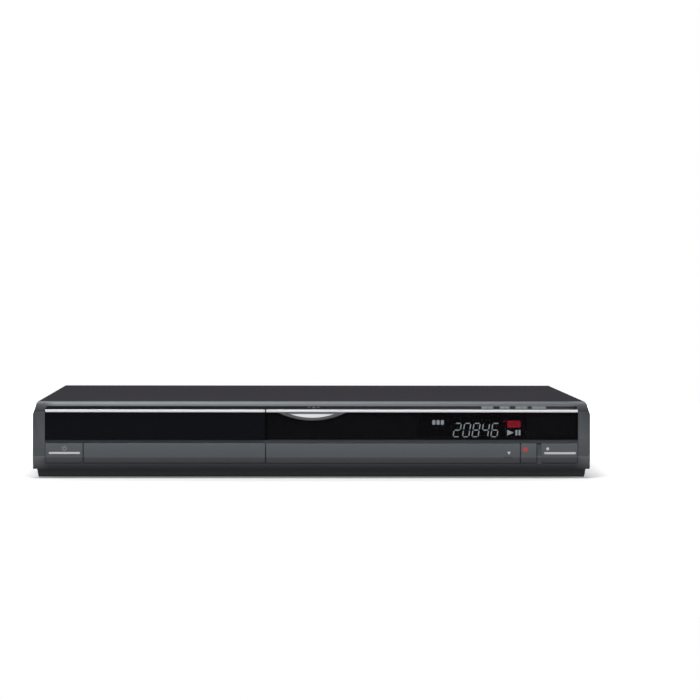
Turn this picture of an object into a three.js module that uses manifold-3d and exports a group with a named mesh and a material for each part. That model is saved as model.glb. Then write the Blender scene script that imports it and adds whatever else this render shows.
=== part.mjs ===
// A slim DVD and hard disk recorder, as an assembly of separate pieces.
//
// Millimetres. +X is to the right of the front, +Z is up, and the front faces -Y.
// Inside the recorder's group, y is the depth behind the front plane and z is the
// height above the surface that the feet stand on.

import * as THREE from 'three';
import { mergeVertices } from 'three/addons/utils/BufferGeometryUtils.js';
import Module from 'manifold-3d';

const wasm = await Module();
wasm.setup();

// Driving dimensions of the whole recorder

const overall = { width: 430, height: 59.5, depth: 330 };

// Clearances that every fit is worked out from

const gap = {
  seat: 0.3, // under a piece that rests on or is screwed to another
  seam: 0.8, // between two panels that lie side by side
  running: 0.4, // round a piece that slides or turns
};

// How far a cutting solid passes the faces that it cuts
const overrun = 4;

// Sides of round shapes, from large to small
const sides = { large: 48, round: 24, small: 12, stud: 8 };

// The front panel and what is cut into it

const panel = {
  depth: 9, // front plane to the front edge of the cover
  ground: 1.2, // air under the lip
  wall: 6,
  skin: 2.5,
  flange: 5, // step that goes under the cover
  flangeBottom: 5.5,
  bevelHeight: 3.5,
  shoulderDrop: 6.8, // top of the recorder to the upper edge of the front plane
  crease: 16.4,
  lipTop: 11.8,
  lipSetback: 0.95,
  lipDepth: 7,
};

// Depth and drop of the bevel's points, and of the lip's, from its upper edge
const bevelShares = [[1, 0], [0.77, 0.09], [0.55, 0.22], [0.4, 0.37], [0.28, 0.55], [0.19, 0.77], [0.14, 1]];
const lipShares = [
  [0, 0], [0.1, 0.18], [0.21, 0.33], [0.32, 0.48], [0.44, 0.62], [0.57, 0.745], [0.7, 0.84], [0.85, 0.93], [1, 1],
];

const wing = {
  width: 9.2,
  cornerInset: 4.2,
  cornerHeight: 9.6,
  footHeight: 7.5,
  footInset: 3.2,
  groundInset: 3.9,
};

// Inset and drop of the points of the wing's upper corner
const cornerShares = [
  [1, 0], [0.83, 0.036], [0.69, 0.125], [0.57, 0.24], [0.43, 0.427], [0.35, 0.55],
  [0.26, 0.667], [0.16, 0.8], [0.07, 0.91], [0, 1],
];

const groove = { height: 2.4, depth: 2.6, leftSlant: 1.6, rightInset: 0.9 };

const band = {
  bottom: 29.9,
  topDrop: 5.9, // below the top of the recorder
  pocket: 3,
  setback: 0.3,
  thickness: 2.4,
  trimHeight: 2,
  trayFrontWidth: 170, // left end of the band to the seam at the display window
};

const ledge = { height: 2.4, depth: 2 };

// The row of buttons and panels under the window band

const strip = {
  pocket: 2.8,
  buttonThickness: 1.6,
  powerWidth: 28.8,
  recordWidth: 12,
  recordGap: 3.8,
  playbackWidth: 28.2,
  stemWidth: 8,
  recordStemWidth: 4,
  stemHeight: 5,
  stemLift: 19.5,
  stemEnd: 8.2,
};

const flap = {
  thickness: 2,
  pivotDepth: 4,
  pivotHeight: 16.1,
  trough: 5.3,
  lugWidth: 3.6,
  lugInset: 0.3,
  lugRadius: 1.9,
  pinRadius: 0.8,
  pinReach: 1.4,
  margin: 4.4, // flap's edge to the opening behind it
};

// The four keys in the groove: their width, and the distance of their centre
// from the right end of the window band
const keys = {
  channel_down_key: { width: 9.1, inset: 70.4 },
  channel_up_key: { width: 7.6, inset: 57 },
  stop_key: { width: 9.2, inset: 44 },
  play_key: { width: 11, inset: 30.4 },
};
const key = { thickness: 1.2, setback: 0.7, margin: 0.25, stemInset: 2.4, stemHeight: 1.1, stemEnd: 8.4 };

// The crescent button that opens the tray, and its surround

const crescent = { seamDistance: 35.8, halfWidth: 19, drop: 3.7, thickness: 2, stemWidth: 9, stemHeight: 1.4, stemDrop: 1.1 };
const surround = { halfWidth: 26, drop: 6, thickness: 2.2, setback: 0.1 };
const crescentSteps = 14;

// Behind the display window

const display = { endInset: 123.8, width: 84, bottom: 32.4, height: 17.6, front: 3.5, thickness: 5, chamfer: 1.2 };
const frontBoard = { seamDistance: 5.8, depth: 9.8, thickness: 1.6, bottom: 29.2, switchDepth: 1 };

// Behind the flap

const socketPanel = { depth: 9.8, thickness: 1.6, bottom: 8.4, top: 28.6, endInset: 1.2, lift: 21 };
const phono = { pitch: 14, radius: 4.1, holeRadius: 1.6, reach: 2.8, depth: 8, margin: 2 };
const frontSockets = { phonoStart: 22, videoRadius: 5.6, noseWall: 1.2 };

// Centres of the camera socket and the card slot, along the flap
const cameraShare = 0.51;
const cardShare = 0.7;

const sVideo = { width: 14, height: 12.4, depth: 9, reach: 1, boreRadius: 4, postRadius: 1.5 };
const camera = { width: 9, height: 6.4, depth: 9, reach: 0.6, slotWidth: 6, slotHeight: 3.2, slotDepth: 5 };
const card = { width: 30, height: 6, depth: 16, reach: 0.6, slotWidth: 24.6, slotHeight: 2.5, slotDepth: 13 };

// Folded sheet steel

const cover = { wall: 1, sideInset: 3, bend: 1.2, bottom: 4.6, rearLip: 2.6, bendSteps: 6 };
const coverVent = { count: 9, pitch: 9, width: 3.2, bottom: 20, top: 42, start: 60 };
const chassis = { floor: 4.2, wall: 1, flange: 11, rearLip: 1.6 };
const floorVent = { count: 9, pitch: 8, width: 3.4, length: 44, sideInset: 20, frontInset: 4 };
const foot = { radius: 11, baseRadius: 10, height: 3.9, chamfer: 1, stemRadius: 2.4, stemTop: 7.4, sideInset: 50, endInset: 45 };

// The rear panel, and how far the longest sockets stand out behind its inner face
const rear = { socketReach: 10.6, wall: 1.2, inset: 1.3, bottom: 5.5 };

// The disc drive. Its group's origin is the disc's axis.

const disc = { setback: 60 }; // from the front panel's rear edge
const tray = {
  width: 134,
  rear: 97,
  bottom: 34,
  top: 43,
  wellRadius: 60.8,
  wellFloor: 38.6,
  smallWellRadius: 40.5,
  smallWellDepth: 1,
  sheet: 2,
  rail: 7,
  frontBar: 6,
  slot: 18,
};
const trayHole = { bottom: 30.5, clearance: 1.6 };

const gear = { module: 1, teeth: 18, addendum: 1, dedendum: 1.25, slack: 0.06, bottom: 31.2, top: 33.4, sideInset: 17, y: -47 };
const pressureAngle = THREE.MathUtils.degToRad(20);
const rack = { back: 5.6, bottom: 30.9, start: -54, end: 96 };
const pulley = { radius: 11, grooveRadius: 10, bottom: 25.6, top: 29, grooveBottom: 26.4, grooveTop: 28.2, boreRadius: 2.1, hubRadius: 4 };
const belt = { thickness: 1.2, bottom: 26.7, top: 27.9, gap: 0.3, steps: 12 };
const motor = {
  radius: 12,
  bottom: 9,
  sideInset: 15,
  y: -10,
  neckRadius: 3,
  shaftRadius: 1,
  shaftTop: 28.8,
  pulleyRadius: 4,
  grooveRadius: 3,
};

const base = {
  wall: 3,
  top: 46,
  front: -59,
  rear: 126,
  frontTop: 24,
  deckTop: 24.6,
  deckThickness: 2,
  deckWidth: 28.9,
  deckRear: 8,
  post: 1.7,
  postTop: 33,
  rail: 1.7,
  railDrop: 3,
  guide: 4,
  guideLength: 12,
  guideHeight: 1.6,
  guideStart: -54,
  ear: 3.4,
  earFront: 110,
  earTop: 32,
  legDrop: 2.5,
  legLength: 12,
};

const traverse = {
  halfWidth: 36,
  wall: 2,
  bottom: 24,
  top: 31,
  front: -22,
  rear: 118,
  pivot: 116,
  pivotHeight: 28,
  pin: 1.5,
  pinReach: 3,
  seat: 1.6,
  seatRear: 15.5,
  seatHole: 6,
  bearing: 6,
  bearingFront: 12,
  bearingRear: 15,
};
const rod = { radius: 1.5, spread: 20, height: 28.5 };
const screw = { radius: 1.4, x: 28 };
const sledMotor = { radius: 5.2, length: 16 };
const sled = {
  front: 17,
  rear: 51,
  halfWidth: 24.5,
  bottom: 25.9,
  top: 33.2,
  waist: 16,
  waistFront: 30,
  turret: 9,
  turretFront: 18.6,
  turretRear: 31,
  turretTop: 37.2,
  lensRadius: 2.6,
  lensTop: 37.9,
  lens: 24.6,
  armRear: 40,
};
const spindle = { radius: 14, top: 36.6, collar: 4, collarTop: 37.9, shaft: 1.4, shaftTop: 40.7 };
const turntable = { radius: 15, bottom: 38.3, seat: 40.2, hub: 7.35, hubTop: 43.2, taper: 1, taperDrop: 0.7, boreTop: 41.2 };
const bridge = { halfDepth: 20, thickness: 1.5, rib: 1.2, ribWidth: 1.5 };
const puck = { radius: 14, clearance: 0.6, flange: 17.5, flangeHeight: 1.5, bottom: 43.7, chamfer: 1 };

// Hard disk, boards and their parts

const disk = { driveGap: 20.45, width: 101.6, front: 30, length: 147, height: 26.1, edge: 3, edgeDrop: 4 };
const bracket = { wall: 1.2, top: 22.7, overhang: 3, foot: 8, inset: 10 };
const board = { lift: 12, thickness: 1.6, supportRadius: 3 };
const mainBoard = { driveGap: 4, rearGap: 0.6, tunerGap: 11, fanGap: 5.4 };
const powerBoard = { width: 91, sideInset: 12, diskGap: 8, rearGap: 21.4 };

// Insets of parts from the left and front edges of their board, if not said otherwise
const chip = { width: 26, height: 2.4, sideInset: 19, frontInset: 4 };
const memory = { width: 12, height: 1.2, pitch: 20 };
const capacitor = { radius: 11, height: 30, sideInset: 9, frontInset: 2 };
const smallCapacitor = { count: 3, radius: 6, height: 18, pitch: 16, sideInset: 38, rearInset: 4 };
const coil = { width: 22, depth: 18, height: 20, sideInset: 9, rearInset: 3 };
const transformer = { width: 36, depth: 34, height: 27, rightInset: 17, frontInset: 3, core: 14, coreHeight: 18 };
const sink = { sideInset: 70, frontInset: 4, width: 42, depth: 40, base: 3, height: 20, fins: 7, finThickness: 1.4 };

const tuner = { sideInset: 12, width: 52, length: 60, height: 38, socketRadius: 4.8, boreRadius: 2.2, lowerLift: 14, upperLift: 28 };

// Rear sockets and fan. A reach is measured from the rear panel's inner face.

const scart = {
  tunerGap: 16,
  width: 52,
  height: 17,
  slant: 3,
  recessWidth: 46,
  recessHeight: 12.4,
  recessDepth: 9,
  lower: 23.5,
  upper: 44,
  length: 23.1,
  reach: 5.6,
  block: 56,
  top: 55,
};
const rearPhono = { scartGap: 17, columns: 4, lower: 22, upper: 38, length: 13.1, top: 46, margin: 8 };
const digital = {
  phonoGap: 34,
  lift: 1.4,
  width: 17,
  height: 8,
  length: 14.4,
  reach: 2,
  slotWidth: 14.4,
  slotHeight: 5,
  slotDepth: 8,
};
const fan = {
  height: 32,
  size: 40,
  depth: 10,
  boreRadius: 18.4,
  hubRadius: 8,
  strut: 2.4,
  spider: 1.6,
  blades: 7,
  bladeRadius: 17.7,
};

// The fan's place between the digital socket and the mains inlet
const fanShare = 0.425;
const blade = { thickness: 1.1, width: 9, tilt: THREE.MathUtils.degToRad(38) };
const grille = { slots: 6, width: 3.4, bar: 2.2 };
const mains = {
  sideInset: 33,
  lift: 26,
  width: 26,
  height: 17,
  length: 22.4,
  reach: 3,
  recessWidth: 18,
  recessHeight: 10,
  recessDepth: 13,
  pinRadius: 1.2,
  pinPitch: 8.6,
  pinShort: 3,
};

// Places that the sizes above settle

const halfWidth = overall.width / 2;
const rightEnd = halfWidth - wing.width;
const leftEnd = -rightEnd;
const seam = leftEnd + band.trayFrontWidth;
const crescentX = seam + crescent.seamDistance;
const coverHalf = halfWidth - cover.sideInset;
const innerHalf = coverHalf - cover.wall - gap.seat;
const underCover = overall.height - cover.wall - gap.seat;
const cavityHalf = innerHalf - panel.skin;
const cavityTop = underCover - panel.skin;
const cavityBottom = panel.flangeBottom + panel.skin;
const panelRear = panel.depth + panel.flange;
const discDepth = panelRear + disc.setback;
const stripTop = band.bottom - ledge.height;
const bandTop = overall.height - band.topDrop;
const grooveTop = bandTop + groove.height;
const floorTop = chassis.floor + chassis.wall;
const boardTop = board.lift + board.thickness;
const rearDepth = overall.depth - rear.socketReach;
const bandRear = band.setback + band.thickness;
const glassTop = bandTop - gap.seat - band.trimHeight - gap.seat;

const trayFrontSpan = [leftEnd + gap.seat, seam - gap.seam / 2];
const windowSpan = [seam + gap.seam / 2, rightEnd - gap.seat];
const powerSpan = [leftEnd + gap.seat, leftEnd + gap.seat + strip.powerWidth];
const stripSpan = [powerSpan[1] + gap.seam, seam - gap.seam / 2];
const playbackSpan = [rightEnd - gap.seat - strip.playbackWidth, rightEnd - gap.seat];
const recordSpan = [playbackSpan[0] - strip.recordGap - strip.recordWidth, playbackSpan[0] - strip.recordGap];
const flapSpan = [seam + gap.seam / 2, recordSpan[0] - gap.seam];

const driveX = (trayFrontSpan[0] + trayFrontSpan[1]) / 2;
const trayHalf = tray.width / 2;
const baseHalf = trayHalf + gap.running + base.wall;
const trayFrontFace = bandRear + gap.seat - discDepth;
const gearPitch = gear.module * gear.teeth / 2;
const gearX = gear.sideInset - trayHalf;
const motorX = motor.sideInset - trayHalf;
const pitchLine = gearX - gearPitch;

const diskLeft = driveX + baseHalf + disk.driveGap;
const tunerLeft = tuner.sideInset - halfWidth;
const powerPlace = {
  left: halfWidth - powerBoard.sideInset - powerBoard.width,
  right: halfWidth - powerBoard.sideInset,
  front: disk.front + disk.length + powerBoard.diskGap,
  back: rearDepth - powerBoard.rearGap,
};
const moduleRear = rearDepth - gap.seat;
const scartLeft = tunerLeft + tuner.width + scart.tunerGap;
const scartFront = moduleRear - scart.length;
const phonoLeft = scartLeft + scart.block + rearPhono.scartGap;
const phonoRight = phonoLeft + (rearPhono.columns - 1) * phono.pitch;
const digitalX = phonoRight + digital.phonoGap;
const mainsX = halfWidth - mains.sideInset;
const fanX = digitalX + (mainsX - digitalX) * fanShare;
const mainPlace = {
  left: tunerLeft + tuner.width + mainBoard.tunerGap,
  right: fanX - fan.size / 2 - mainBoard.fanGap,
  front: discDepth + base.rear + mainBoard.driveGap,
  back: rearDepth - mainBoard.rearGap,
};

// Finishes

function finish(color, roughness, metalness) {
  return { color, roughness, metalness, flatShading: true };
}

const finishes = {
  charcoal: finish(0x505458, 0.45, 0.2),
  blackGloss: finish(0x0d0d10, 0.08, 0),
  brightTrim: finish(0xe4e5e8, 0.2, 0.9),
  coverPaint: finish(0x3c3b40, 0.5, 0.4),
  steel: finish(0xa8abaf, 0.35, 0.9),
  greyPlastic: finish(0x6e7276, 0.5, 0),
  blackPlastic: finish(0x1c1d1f, 0.5, 0),
  rubber: finish(0x151515, 0.9, 0),
  glass: finish(0x1d2b30, 0.1, 0),
  boardGreen: finish(0x1f4a2c, 0.6, 0),
  whitePlastic: finish(0xd9d9d4, 0.5, 0),
  copper: finish(0x8a5a30, 0.5, 0.6),
};

// Solids

const acrossX = new THREE.Matrix4().set(0, 0, 1, 0, 1, 0, 0, 0, 0, 1, 0, 0, 0, 0, 0, 1);
const alongY = new THREE.Matrix4().set(1, 0, 0, 0, 0, 0, -1, 0, 0, 1, 0, 0, 0, 0, 0, 1);

// A closed geometry as a solid that can be joined and cut
function solid(geometry) {
  geometry.deleteAttribute('normal');
  geometry.deleteAttribute('uv');
  const merged = mergeVertices(geometry);
  const corners = merged.index.array;
  const kept = [];
  for (let i = 0; i < corners.length; i += 3) {
    const [a, b, c] = [corners[i], corners[i + 1], corners[i + 2]];
    if (a !== b && b !== c && c !== a) kept.push(a, b, c);
  }
  return new wasm.Manifold(new wasm.Mesh({
    numProp: 3,
    vertProperties: new Float32Array(merged.attributes.position.array),
    triVerts: new Uint32Array(kept),
  }));
}

function middle(span) {
  return (span[0] + span[1]) / 2;
}

function around(centre, width) {
  return [centre - width / 2, centre + width / 2];
}

function block(x, y, z) {
  const geometry = new THREE.BoxGeometry(x[1] - x[0], y[1] - y[0], z[1] - z[0]);
  geometry.translate(middle(x), middle(y), middle(z));
  return solid(geometry);
}

function extruded(points, length) {
  const shape = new THREE.Shape(points.map(([u, v]) => new THREE.Vector2(u, v)));
  return new THREE.ExtrudeGeometry(shape, { depth: length, bevelEnabled: false });
}

// A plan outline of [x, y] points, drawn upwards
function plan(points, z) {
  return solid(extruded(points, z[1] - z[0]).translate(0, 0, z[0]));
}

// A side view section of [y, z] points, drawn across the width
function section(points, x) {
  return solid(extruded(points, x[1] - x[0]).applyMatrix4(acrossX).translate(x[0], 0, 0));
}

// A front view outline of [x, z] points, drawn from front to back
function outline(points, y) {
  return solid(extruded(points, y[1] - y[0]).applyMatrix4(alongY).translate(0, y[1], 0));
}

// A round bar along one axis; at holds the two other coordinates in x, y, z order
function bar(axis, at, radius, span, count) {
  const geometry = new THREE.CylinderGeometry(radius, radius, span[1] - span[0], count);
  const centre = middle(span);
  if (axis === 'x') geometry.rotateZ(-Math.PI / 2).translate(centre, at[0], at[1]);
  if (axis === 'y') geometry.translate(at[0], centre, at[1]);
  if (axis === 'z') geometry.rotateX(Math.PI / 2).translate(at[0], at[1], centre);
  return solid(geometry);
}

// A profile of [radius, height] points, anticlockwise, turned about the vertical axis
function turned(profile, count) {
  const points = profile.map(([radius, height]) => new THREE.Vector2(radius, height));
  return solid(new THREE.LatheGeometry(points, count).rotateX(Math.PI / 2));
}

function joined(first, ...others) {
  return others.reduce((sum, other) => sum.add(other), first);
}

function cut(first, ...tools) {
  return tools.reduce((rest, tool) => rest.subtract(tool), first);
}

// Points on an arc, from one angle to another
function arc(x, y, radius, from, to, steps) {
  const points = [];
  for (let i = 0; i <= steps; i += 1) {
    const angle = from + (to - from) * i / steps;
    points.push([x + radius * Math.cos(angle), y + radius * Math.sin(angle)]);
  }
  return points;
}

// The named mesh of one piece
function piece(name, made, look) {
  const mesh = made.getMesh();
  const geometry = new THREE.BufferGeometry();
  geometry.setAttribute('position', new THREE.BufferAttribute(mesh.vertProperties, 3));
  geometry.setIndex(new THREE.BufferAttribute(mesh.triVerts, 1));
  geometry.computeVertexNormals();
  const result = new THREE.Mesh(geometry, new THREE.MeshStandardMaterial(finishes[look]));
  result.name = name;
  return result;
}

// Front frame

function panelProfile() {
  const points = bevelShares.map(([depthShare, dropShare]) => [
    panel.depth * depthShare,
    overall.height - panel.bevelHeight * dropShare,
  ]);
  points.push([0, overall.height - panel.shoulderDrop], [0, panel.crease]);
  for (const [depthShare, dropShare] of lipShares) {
    points.push([
      panel.lipSetback + (panel.lipDepth - panel.lipSetback) * depthShare,
      panel.lipTop - (panel.lipTop - panel.ground) * dropShare,
    ]);
  }
  points.push([panel.depth, panel.ground]);
  return points;
}

function panelOutline() {
  const right = cornerShares.map(([insetShare, dropShare]) => [
    halfWidth - wing.cornerInset * insetShare,
    overall.height - wing.cornerHeight * dropShare,
  ]);
  right.push([halfWidth, wing.footHeight], [halfWidth - wing.footInset, wing.footHeight]);
  right.push([halfWidth - wing.groundInset, panel.ground]);
  const left = right.map(([x, z]) => [-x, z]).reverse();
  return [...right, ...left];
}

// The step behind the face, with its upper corners cut to clear the cover's bend
function flangeBlock() {
  const corner = cover.bend;
  return outline([
    [-innerHalf, panel.flangeBottom], [innerHalf, panel.flangeBottom],
    [innerHalf, underCover - corner], [innerHalf - corner, underCover],
    [-innerHalf + corner, underCover], [-innerHalf, underCover - corner],
  ], [panel.wall, panelRear]);
}

function grooveCutter() {
  const left = leftEnd + groove.leftSlant;
  const right = rightEnd - groove.rightInset;
  const foot = bandTop - gap.seat;
  return outline(
    [[left, grooveTop], [leftEnd, foot], [right, foot], [right, grooveTop]],
    [-overrun, groove.depth],
  );
}

// Holes in the front wall for the stems of the buttons and keys
function stemHoles() {
  const depth = [0, panel.wall + overrun];
  const holes = [
    [powerSpan, strip.stemWidth],
    [recordSpan, strip.recordStemWidth],
    [playbackSpan, strip.stemWidth],
  ].map(([span, width]) => block(
    around(middle(span), width + 2 * gap.running),
    depth,
    around(strip.stemLift, strip.stemHeight + 2 * gap.running),
  ));
  for (const { width, inset } of Object.values(keys)) {
    holes.push(block(
      around(rightEnd - inset, width - 2 * key.stemInset + 2 * gap.running),
      depth,
      around(bandTop + groove.height / 2, key.stemHeight + 2 * gap.running),
    ));
  }
  holes.push(block(
    around(crescentX, crescent.stemWidth + 2 * gap.running),
    depth,
    around(glassTop - crescent.stemDrop - gap.seat, crescent.stemHeight + 2 * gap.running),
  ));
  return holes;
}

// The flap swings in a round trough, on pins in the wall at its two ends
function flapSpace() {
  const ends = [flapSpan[0] - gap.seat, flapSpan[1] + gap.seat];
  const pivot = [flap.pivotDepth, flap.pivotHeight];
  const pinEnds = [ends[0] - flap.pinReach, ends[1] + flap.pinReach];
  return [
    bar('x', pivot, flap.trough, ends, sides.large),
    bar('x', pivot, flap.pinRadius + gap.seat, pinEnds, sides.small),
    block(
      [flapSpan[0] + flap.margin, flapSpan[1] - flap.margin],
      [0, panel.wall + overrun],
      [flap.pivotHeight, stripTop - gap.seat],
    ),
  ];
}

function makeFrontFrame() {
  const face = section(panelProfile(), [-halfWidth, halfWidth])
    .intersect(outline(panelOutline(), [-overrun, panel.depth + overrun]));
  const cavity = block(
    [-cavityHalf, cavityHalf],
    [panel.wall, panelRear + overrun],
    [cavityBottom, cavityTop],
  );
  const windowPocket = block([leftEnd, rightEnd], [-overrun, band.pocket], [band.bottom, bandTop]);
  const shadowLedge = block([leftEnd, rightEnd], [-overrun, ledge.depth], [stripTop, band.bottom + gap.seat]);
  const stripPocket = block([leftEnd, rightEnd], [-overrun, strip.pocket], [panel.lipTop, stripTop + gap.seat]);
  const hole = block(
    around(driveX, tray.width + 2 * trayHole.clearance),
    [0, panelRear],
    [trayHole.bottom, tray.top + trayHole.clearance],
  );
  const displayHole = block(
    around(rightEnd - display.endInset + display.width / 2, display.width + 2 * gap.running),
    [0, panelRear],
    [display.bottom - gap.running, display.bottom + display.height + gap.running],
  );
  const solidFrame = cut(
    joined(face, flangeBlock()),
    cavity, windowPocket, shadowLedge, stripPocket, grooveCutter(), hole, displayHole,
    ...stemHoles(), ...flapSpace(),
  );
  return piece('front_frame', solidFrame, 'charcoal');
}

// Window band: tray front, display window and their bright trims

function trimSpanHeights() {
  return [bandTop - gap.seat - band.trimHeight, bandTop - gap.seat];
}

function makeTrim(name, span) {
  return piece(name, block(span, [0, band.thickness], trimSpanHeights()), 'brightTrim');
}

function makeTrayFront() {
  const plate = block(trayFrontSpan, [band.setback, bandRear], [band.bottom + gap.seat, glassTop]);
  return piece('tray_front', plate, 'blackGloss');
}

// A circular segment that hangs from a level edge, grown outwards by a margin and
// carried up past that edge by a rise
function segment(half, drop, top, margin = 0, rise = 0) {
  const radius = (half * half + drop * drop) / (2 * drop);
  const height = radius - drop;
  const reach = Math.acos((height - rise) / (radius + margin));
  return arc(crescentX, top + height, radius + margin, -Math.PI / 2 - reach, -Math.PI / 2 + reach, crescentSteps);
}

function makeDisplayWindow() {
  const plate = block(windowSpan, [band.setback, bandRear], [band.bottom + gap.seat, glassTop]);
  const notch = outline(
    segment(surround.halfWidth, surround.drop, glassTop, gap.seat, gap.seat),
    [-overrun, bandRear + overrun],
  );
  return piece('display_window', cut(plate, notch), 'blackGloss');
}

function makeButtonSurround() {
  const front = surround.setback;
  const ring = outline(segment(surround.halfWidth, surround.drop, glassTop), [front, front + surround.thickness]);
  const hole = outline(
    segment(crescent.halfWidth, crescent.drop, glassTop - gap.seat, gap.running, 2 * gap.seat),
    [-overrun, bandRear + overrun],
  );
  return piece('button_surround', cut(ring, hole), 'greyPlastic');
}

function makeOpenCloseButton() {
  const top = glassTop - gap.seat;
  const face = outline(segment(crescent.halfWidth, crescent.drop, top), [0, crescent.thickness]);
  const stem = block(
    around(crescentX, crescent.stemWidth),
    [crescent.thickness / 2, strip.stemEnd],
    around(glassTop - crescent.stemDrop - gap.seat, crescent.stemHeight),
  );
  return piece('open_close_button', joined(face, stem), 'brightTrim');
}

// Lower row: buttons and strip share one section with the panel's crease

function rowSection(rearDepth) {
  const foot = panel.lipTop + gap.seat;
  const top = stripTop - gap.seat;
  return [[0, top], [0, panel.crease], [panel.lipSetback, foot], [rearDepth, foot], [rearDepth, top]];
}

function makeRowButton(name, span, stemWidth) {
  const face = section(rowSection(strip.buttonThickness), span);
  const stem = block(
    around(middle(span), stemWidth),
    [strip.buttonThickness / 2, strip.stemEnd],
    around(strip.stemLift, strip.stemHeight),
  );
  return piece(name, joined(face, stem), 'charcoal');
}

function makeLowerStrip() {
  return piece('lower_strip', section(rowSection(strip.pocket - gap.seat), stripSpan), 'charcoal');
}

// The flap, with a lug and a pin behind each of its ends
function makeFlap() {
  const plate = section(rowSection(flap.thickness), flapSpan);
  const pivot = [flap.pivotDepth, flap.pivotHeight];
  const lugOutline = [
    [flap.thickness / 2, flap.pivotHeight - flap.lugRadius],
    ...arc(...pivot, flap.lugRadius, -Math.PI / 2, Math.PI / 2, sides.stud),
    [flap.thickness / 2, flap.pivotHeight + flap.lugRadius],
  ];
  const [left, right] = [flapSpan[0] + flap.lugInset, flapSpan[1] - flap.lugInset];
  const ends = [
    { lug: [left, left + flap.lugWidth], pin: [flapSpan[0] - flap.pinReach, left + flap.lugWidth / 2] },
    { lug: [right - flap.lugWidth, right], pin: [right - flap.lugWidth / 2, flapSpan[1] + flap.pinReach] },
  ];
  const fittings = ends.flatMap(({ lug, pin }) => [
    section(lugOutline, lug),
    bar('x', pivot, flap.pinRadius, pin, sides.small),
  ]);
  return piece('front_flap', joined(plate, ...fittings), 'charcoal');
}

function makeKeys() {
  const heights = [bandTop + key.margin, grooveTop - key.margin];
  return Object.entries(keys).map(([name, { width, inset }]) => {
    const centre = rightEnd - inset;
    const face = block(around(centre, width), [key.setback, key.setback + key.thickness], heights);
    const stem = block(
      around(centre, width - 2 * key.stemInset),
      [key.setback, key.stemEnd],
      around(bandTop + groove.height / 2, key.stemHeight),
    );
    return piece(name, joined(face, stem), 'greyPlastic');
  });
}

// Display tube and the board that carries it and the switches

function displaySpan() {
  const left = rightEnd - display.endInset;
  return [left, left + display.width];
}

function makeDisplayTube() {
  const [left, right] = displaySpan();
  const [low, high] = [display.bottom, display.bottom + display.height];
  const c = display.chamfer;
  const corners = [
    [left + c, low], [right - c, low], [right, low + c], [right, high - c],
    [right - c, high], [left + c, high], [left, high - c], [left, low + c],
  ];
  const glass = outline(corners, [display.front, display.front + display.thickness]);
  const pinRow = block(
    [left + 2 * c, right - 2 * c],
    [display.front + display.thickness / 2, frontBoard.depth - gap.seat],
    [low + c, low + 2 * c],
  );
  return piece('display_tube', joined(glass, pinRow), 'glass');
}

function makeFrontBoard() {
  const plate = block(
    [seam + frontBoard.seamDistance, cavityHalf - gap.seat],
    [frontBoard.depth, frontBoard.depth + frontBoard.thickness],
    [frontBoard.bottom, cavityTop - gap.running],
  );
  const switches = Object.values(keys).map(({ width, inset }) => block(
    around(rightEnd - inset, width - 2 * key.stemInset),
    [frontBoard.depth - frontBoard.switchDepth / 2, frontBoard.depth + frontBoard.thickness / 2],
    [cavityTop - gap.running - frontBoard.switchDepth, cavityTop - gap.running],
  ));
  return piece('front_board', joined(plate, ...switches), 'boardGreen');
}

// Sockets behind the flap

function phonoPlaces() {
  return [0, 1, 2].map((i) => [flapSpan[0] + frontSockets.phonoStart + i * phono.pitch, socketPanel.lift]);
}

function boxSocket(name, x, z, size, look) {
  const rearFace = socketPanel.depth + socketPanel.thickness + gap.seat;
  const front = socketPanel.depth - size.reach;
  const nose = block(
    around(x, size.slotWidth + 2 * frontSockets.noseWall),
    [front, rearFace + frontSockets.noseWall],
    around(z, size.slotHeight + 2 * frontSockets.noseWall),
  );
  const body = block(around(x, size.width), [rearFace, rearFace + size.depth], around(z, size.height));
  const slot = block(around(x, size.slotWidth), [front - overrun, front + size.slotDepth], around(z, size.slotHeight));
  return piece(name, cut(joined(nose, body), slot), look);
}

function noseWindow(x, z, size) {
  const rim = 2 * (frontSockets.noseWall + gap.seat);
  return block(
    around(x, size.slotWidth + rim),
    [socketPanel.depth - overrun, socketPanel.depth + socketPanel.thickness + overrun],
    around(z, size.slotHeight + rim),
  );
}

const cameraX = flapSpan[0] + (flapSpan[1] - flapSpan[0]) * cameraShare;
const cardX = flapSpan[0] + (flapSpan[1] - flapSpan[0]) * cardShare;
const sVideoX = flapSpan[0] + frontSockets.phonoStart - phono.pitch;

function makeFrontSocketPanel() {
  const plate = block(
    [flapSpan[0] + socketPanel.endInset, flapSpan[1] - socketPanel.endInset],
    [socketPanel.depth, socketPanel.depth + socketPanel.thickness],
    [socketPanel.bottom, socketPanel.top],
  );
  const through = [socketPanel.depth - overrun, socketPanel.depth + socketPanel.thickness + overrun];
  const rounds = phonoPlaces().map((at) => bar('y', at, phono.radius + gap.running, through, sides.small));
  const videoHole = bar('y', [sVideoX, socketPanel.lift], frontSockets.videoRadius + gap.seat, through, sides.round);
  return piece('front_socket_panel', cut(
    plate, ...rounds, videoHole,
    noseWindow(cameraX, socketPanel.lift, camera), noseWindow(cardX, socketPanel.lift, card),
  ), 'blackPlastic');
}

function makeFrontPhonoBlock() {
  const places = phonoPlaces();
  const rearFace = socketPanel.depth + socketPanel.thickness + gap.seat;
  const body = block(
    [places[0][0] - phono.radius - phono.margin, places[2][0] + phono.radius + phono.margin],
    [rearFace, rearFace + phono.depth],
    around(socketPanel.lift, 2 * (phono.radius + phono.margin)),
  );
  const front = socketPanel.depth - phono.reach;
  const shells = places.map((at) => bar('y', at, phono.radius, [front, rearFace + phono.margin], sides.small));
  const bores = places.map((at) => bar('y', at, phono.holeRadius, [front - overrun, rearFace + phono.depth / 2], sides.stud));
  return piece('front_phono_block', cut(joined(body, ...shells), ...bores), 'blackPlastic');
}

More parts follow.
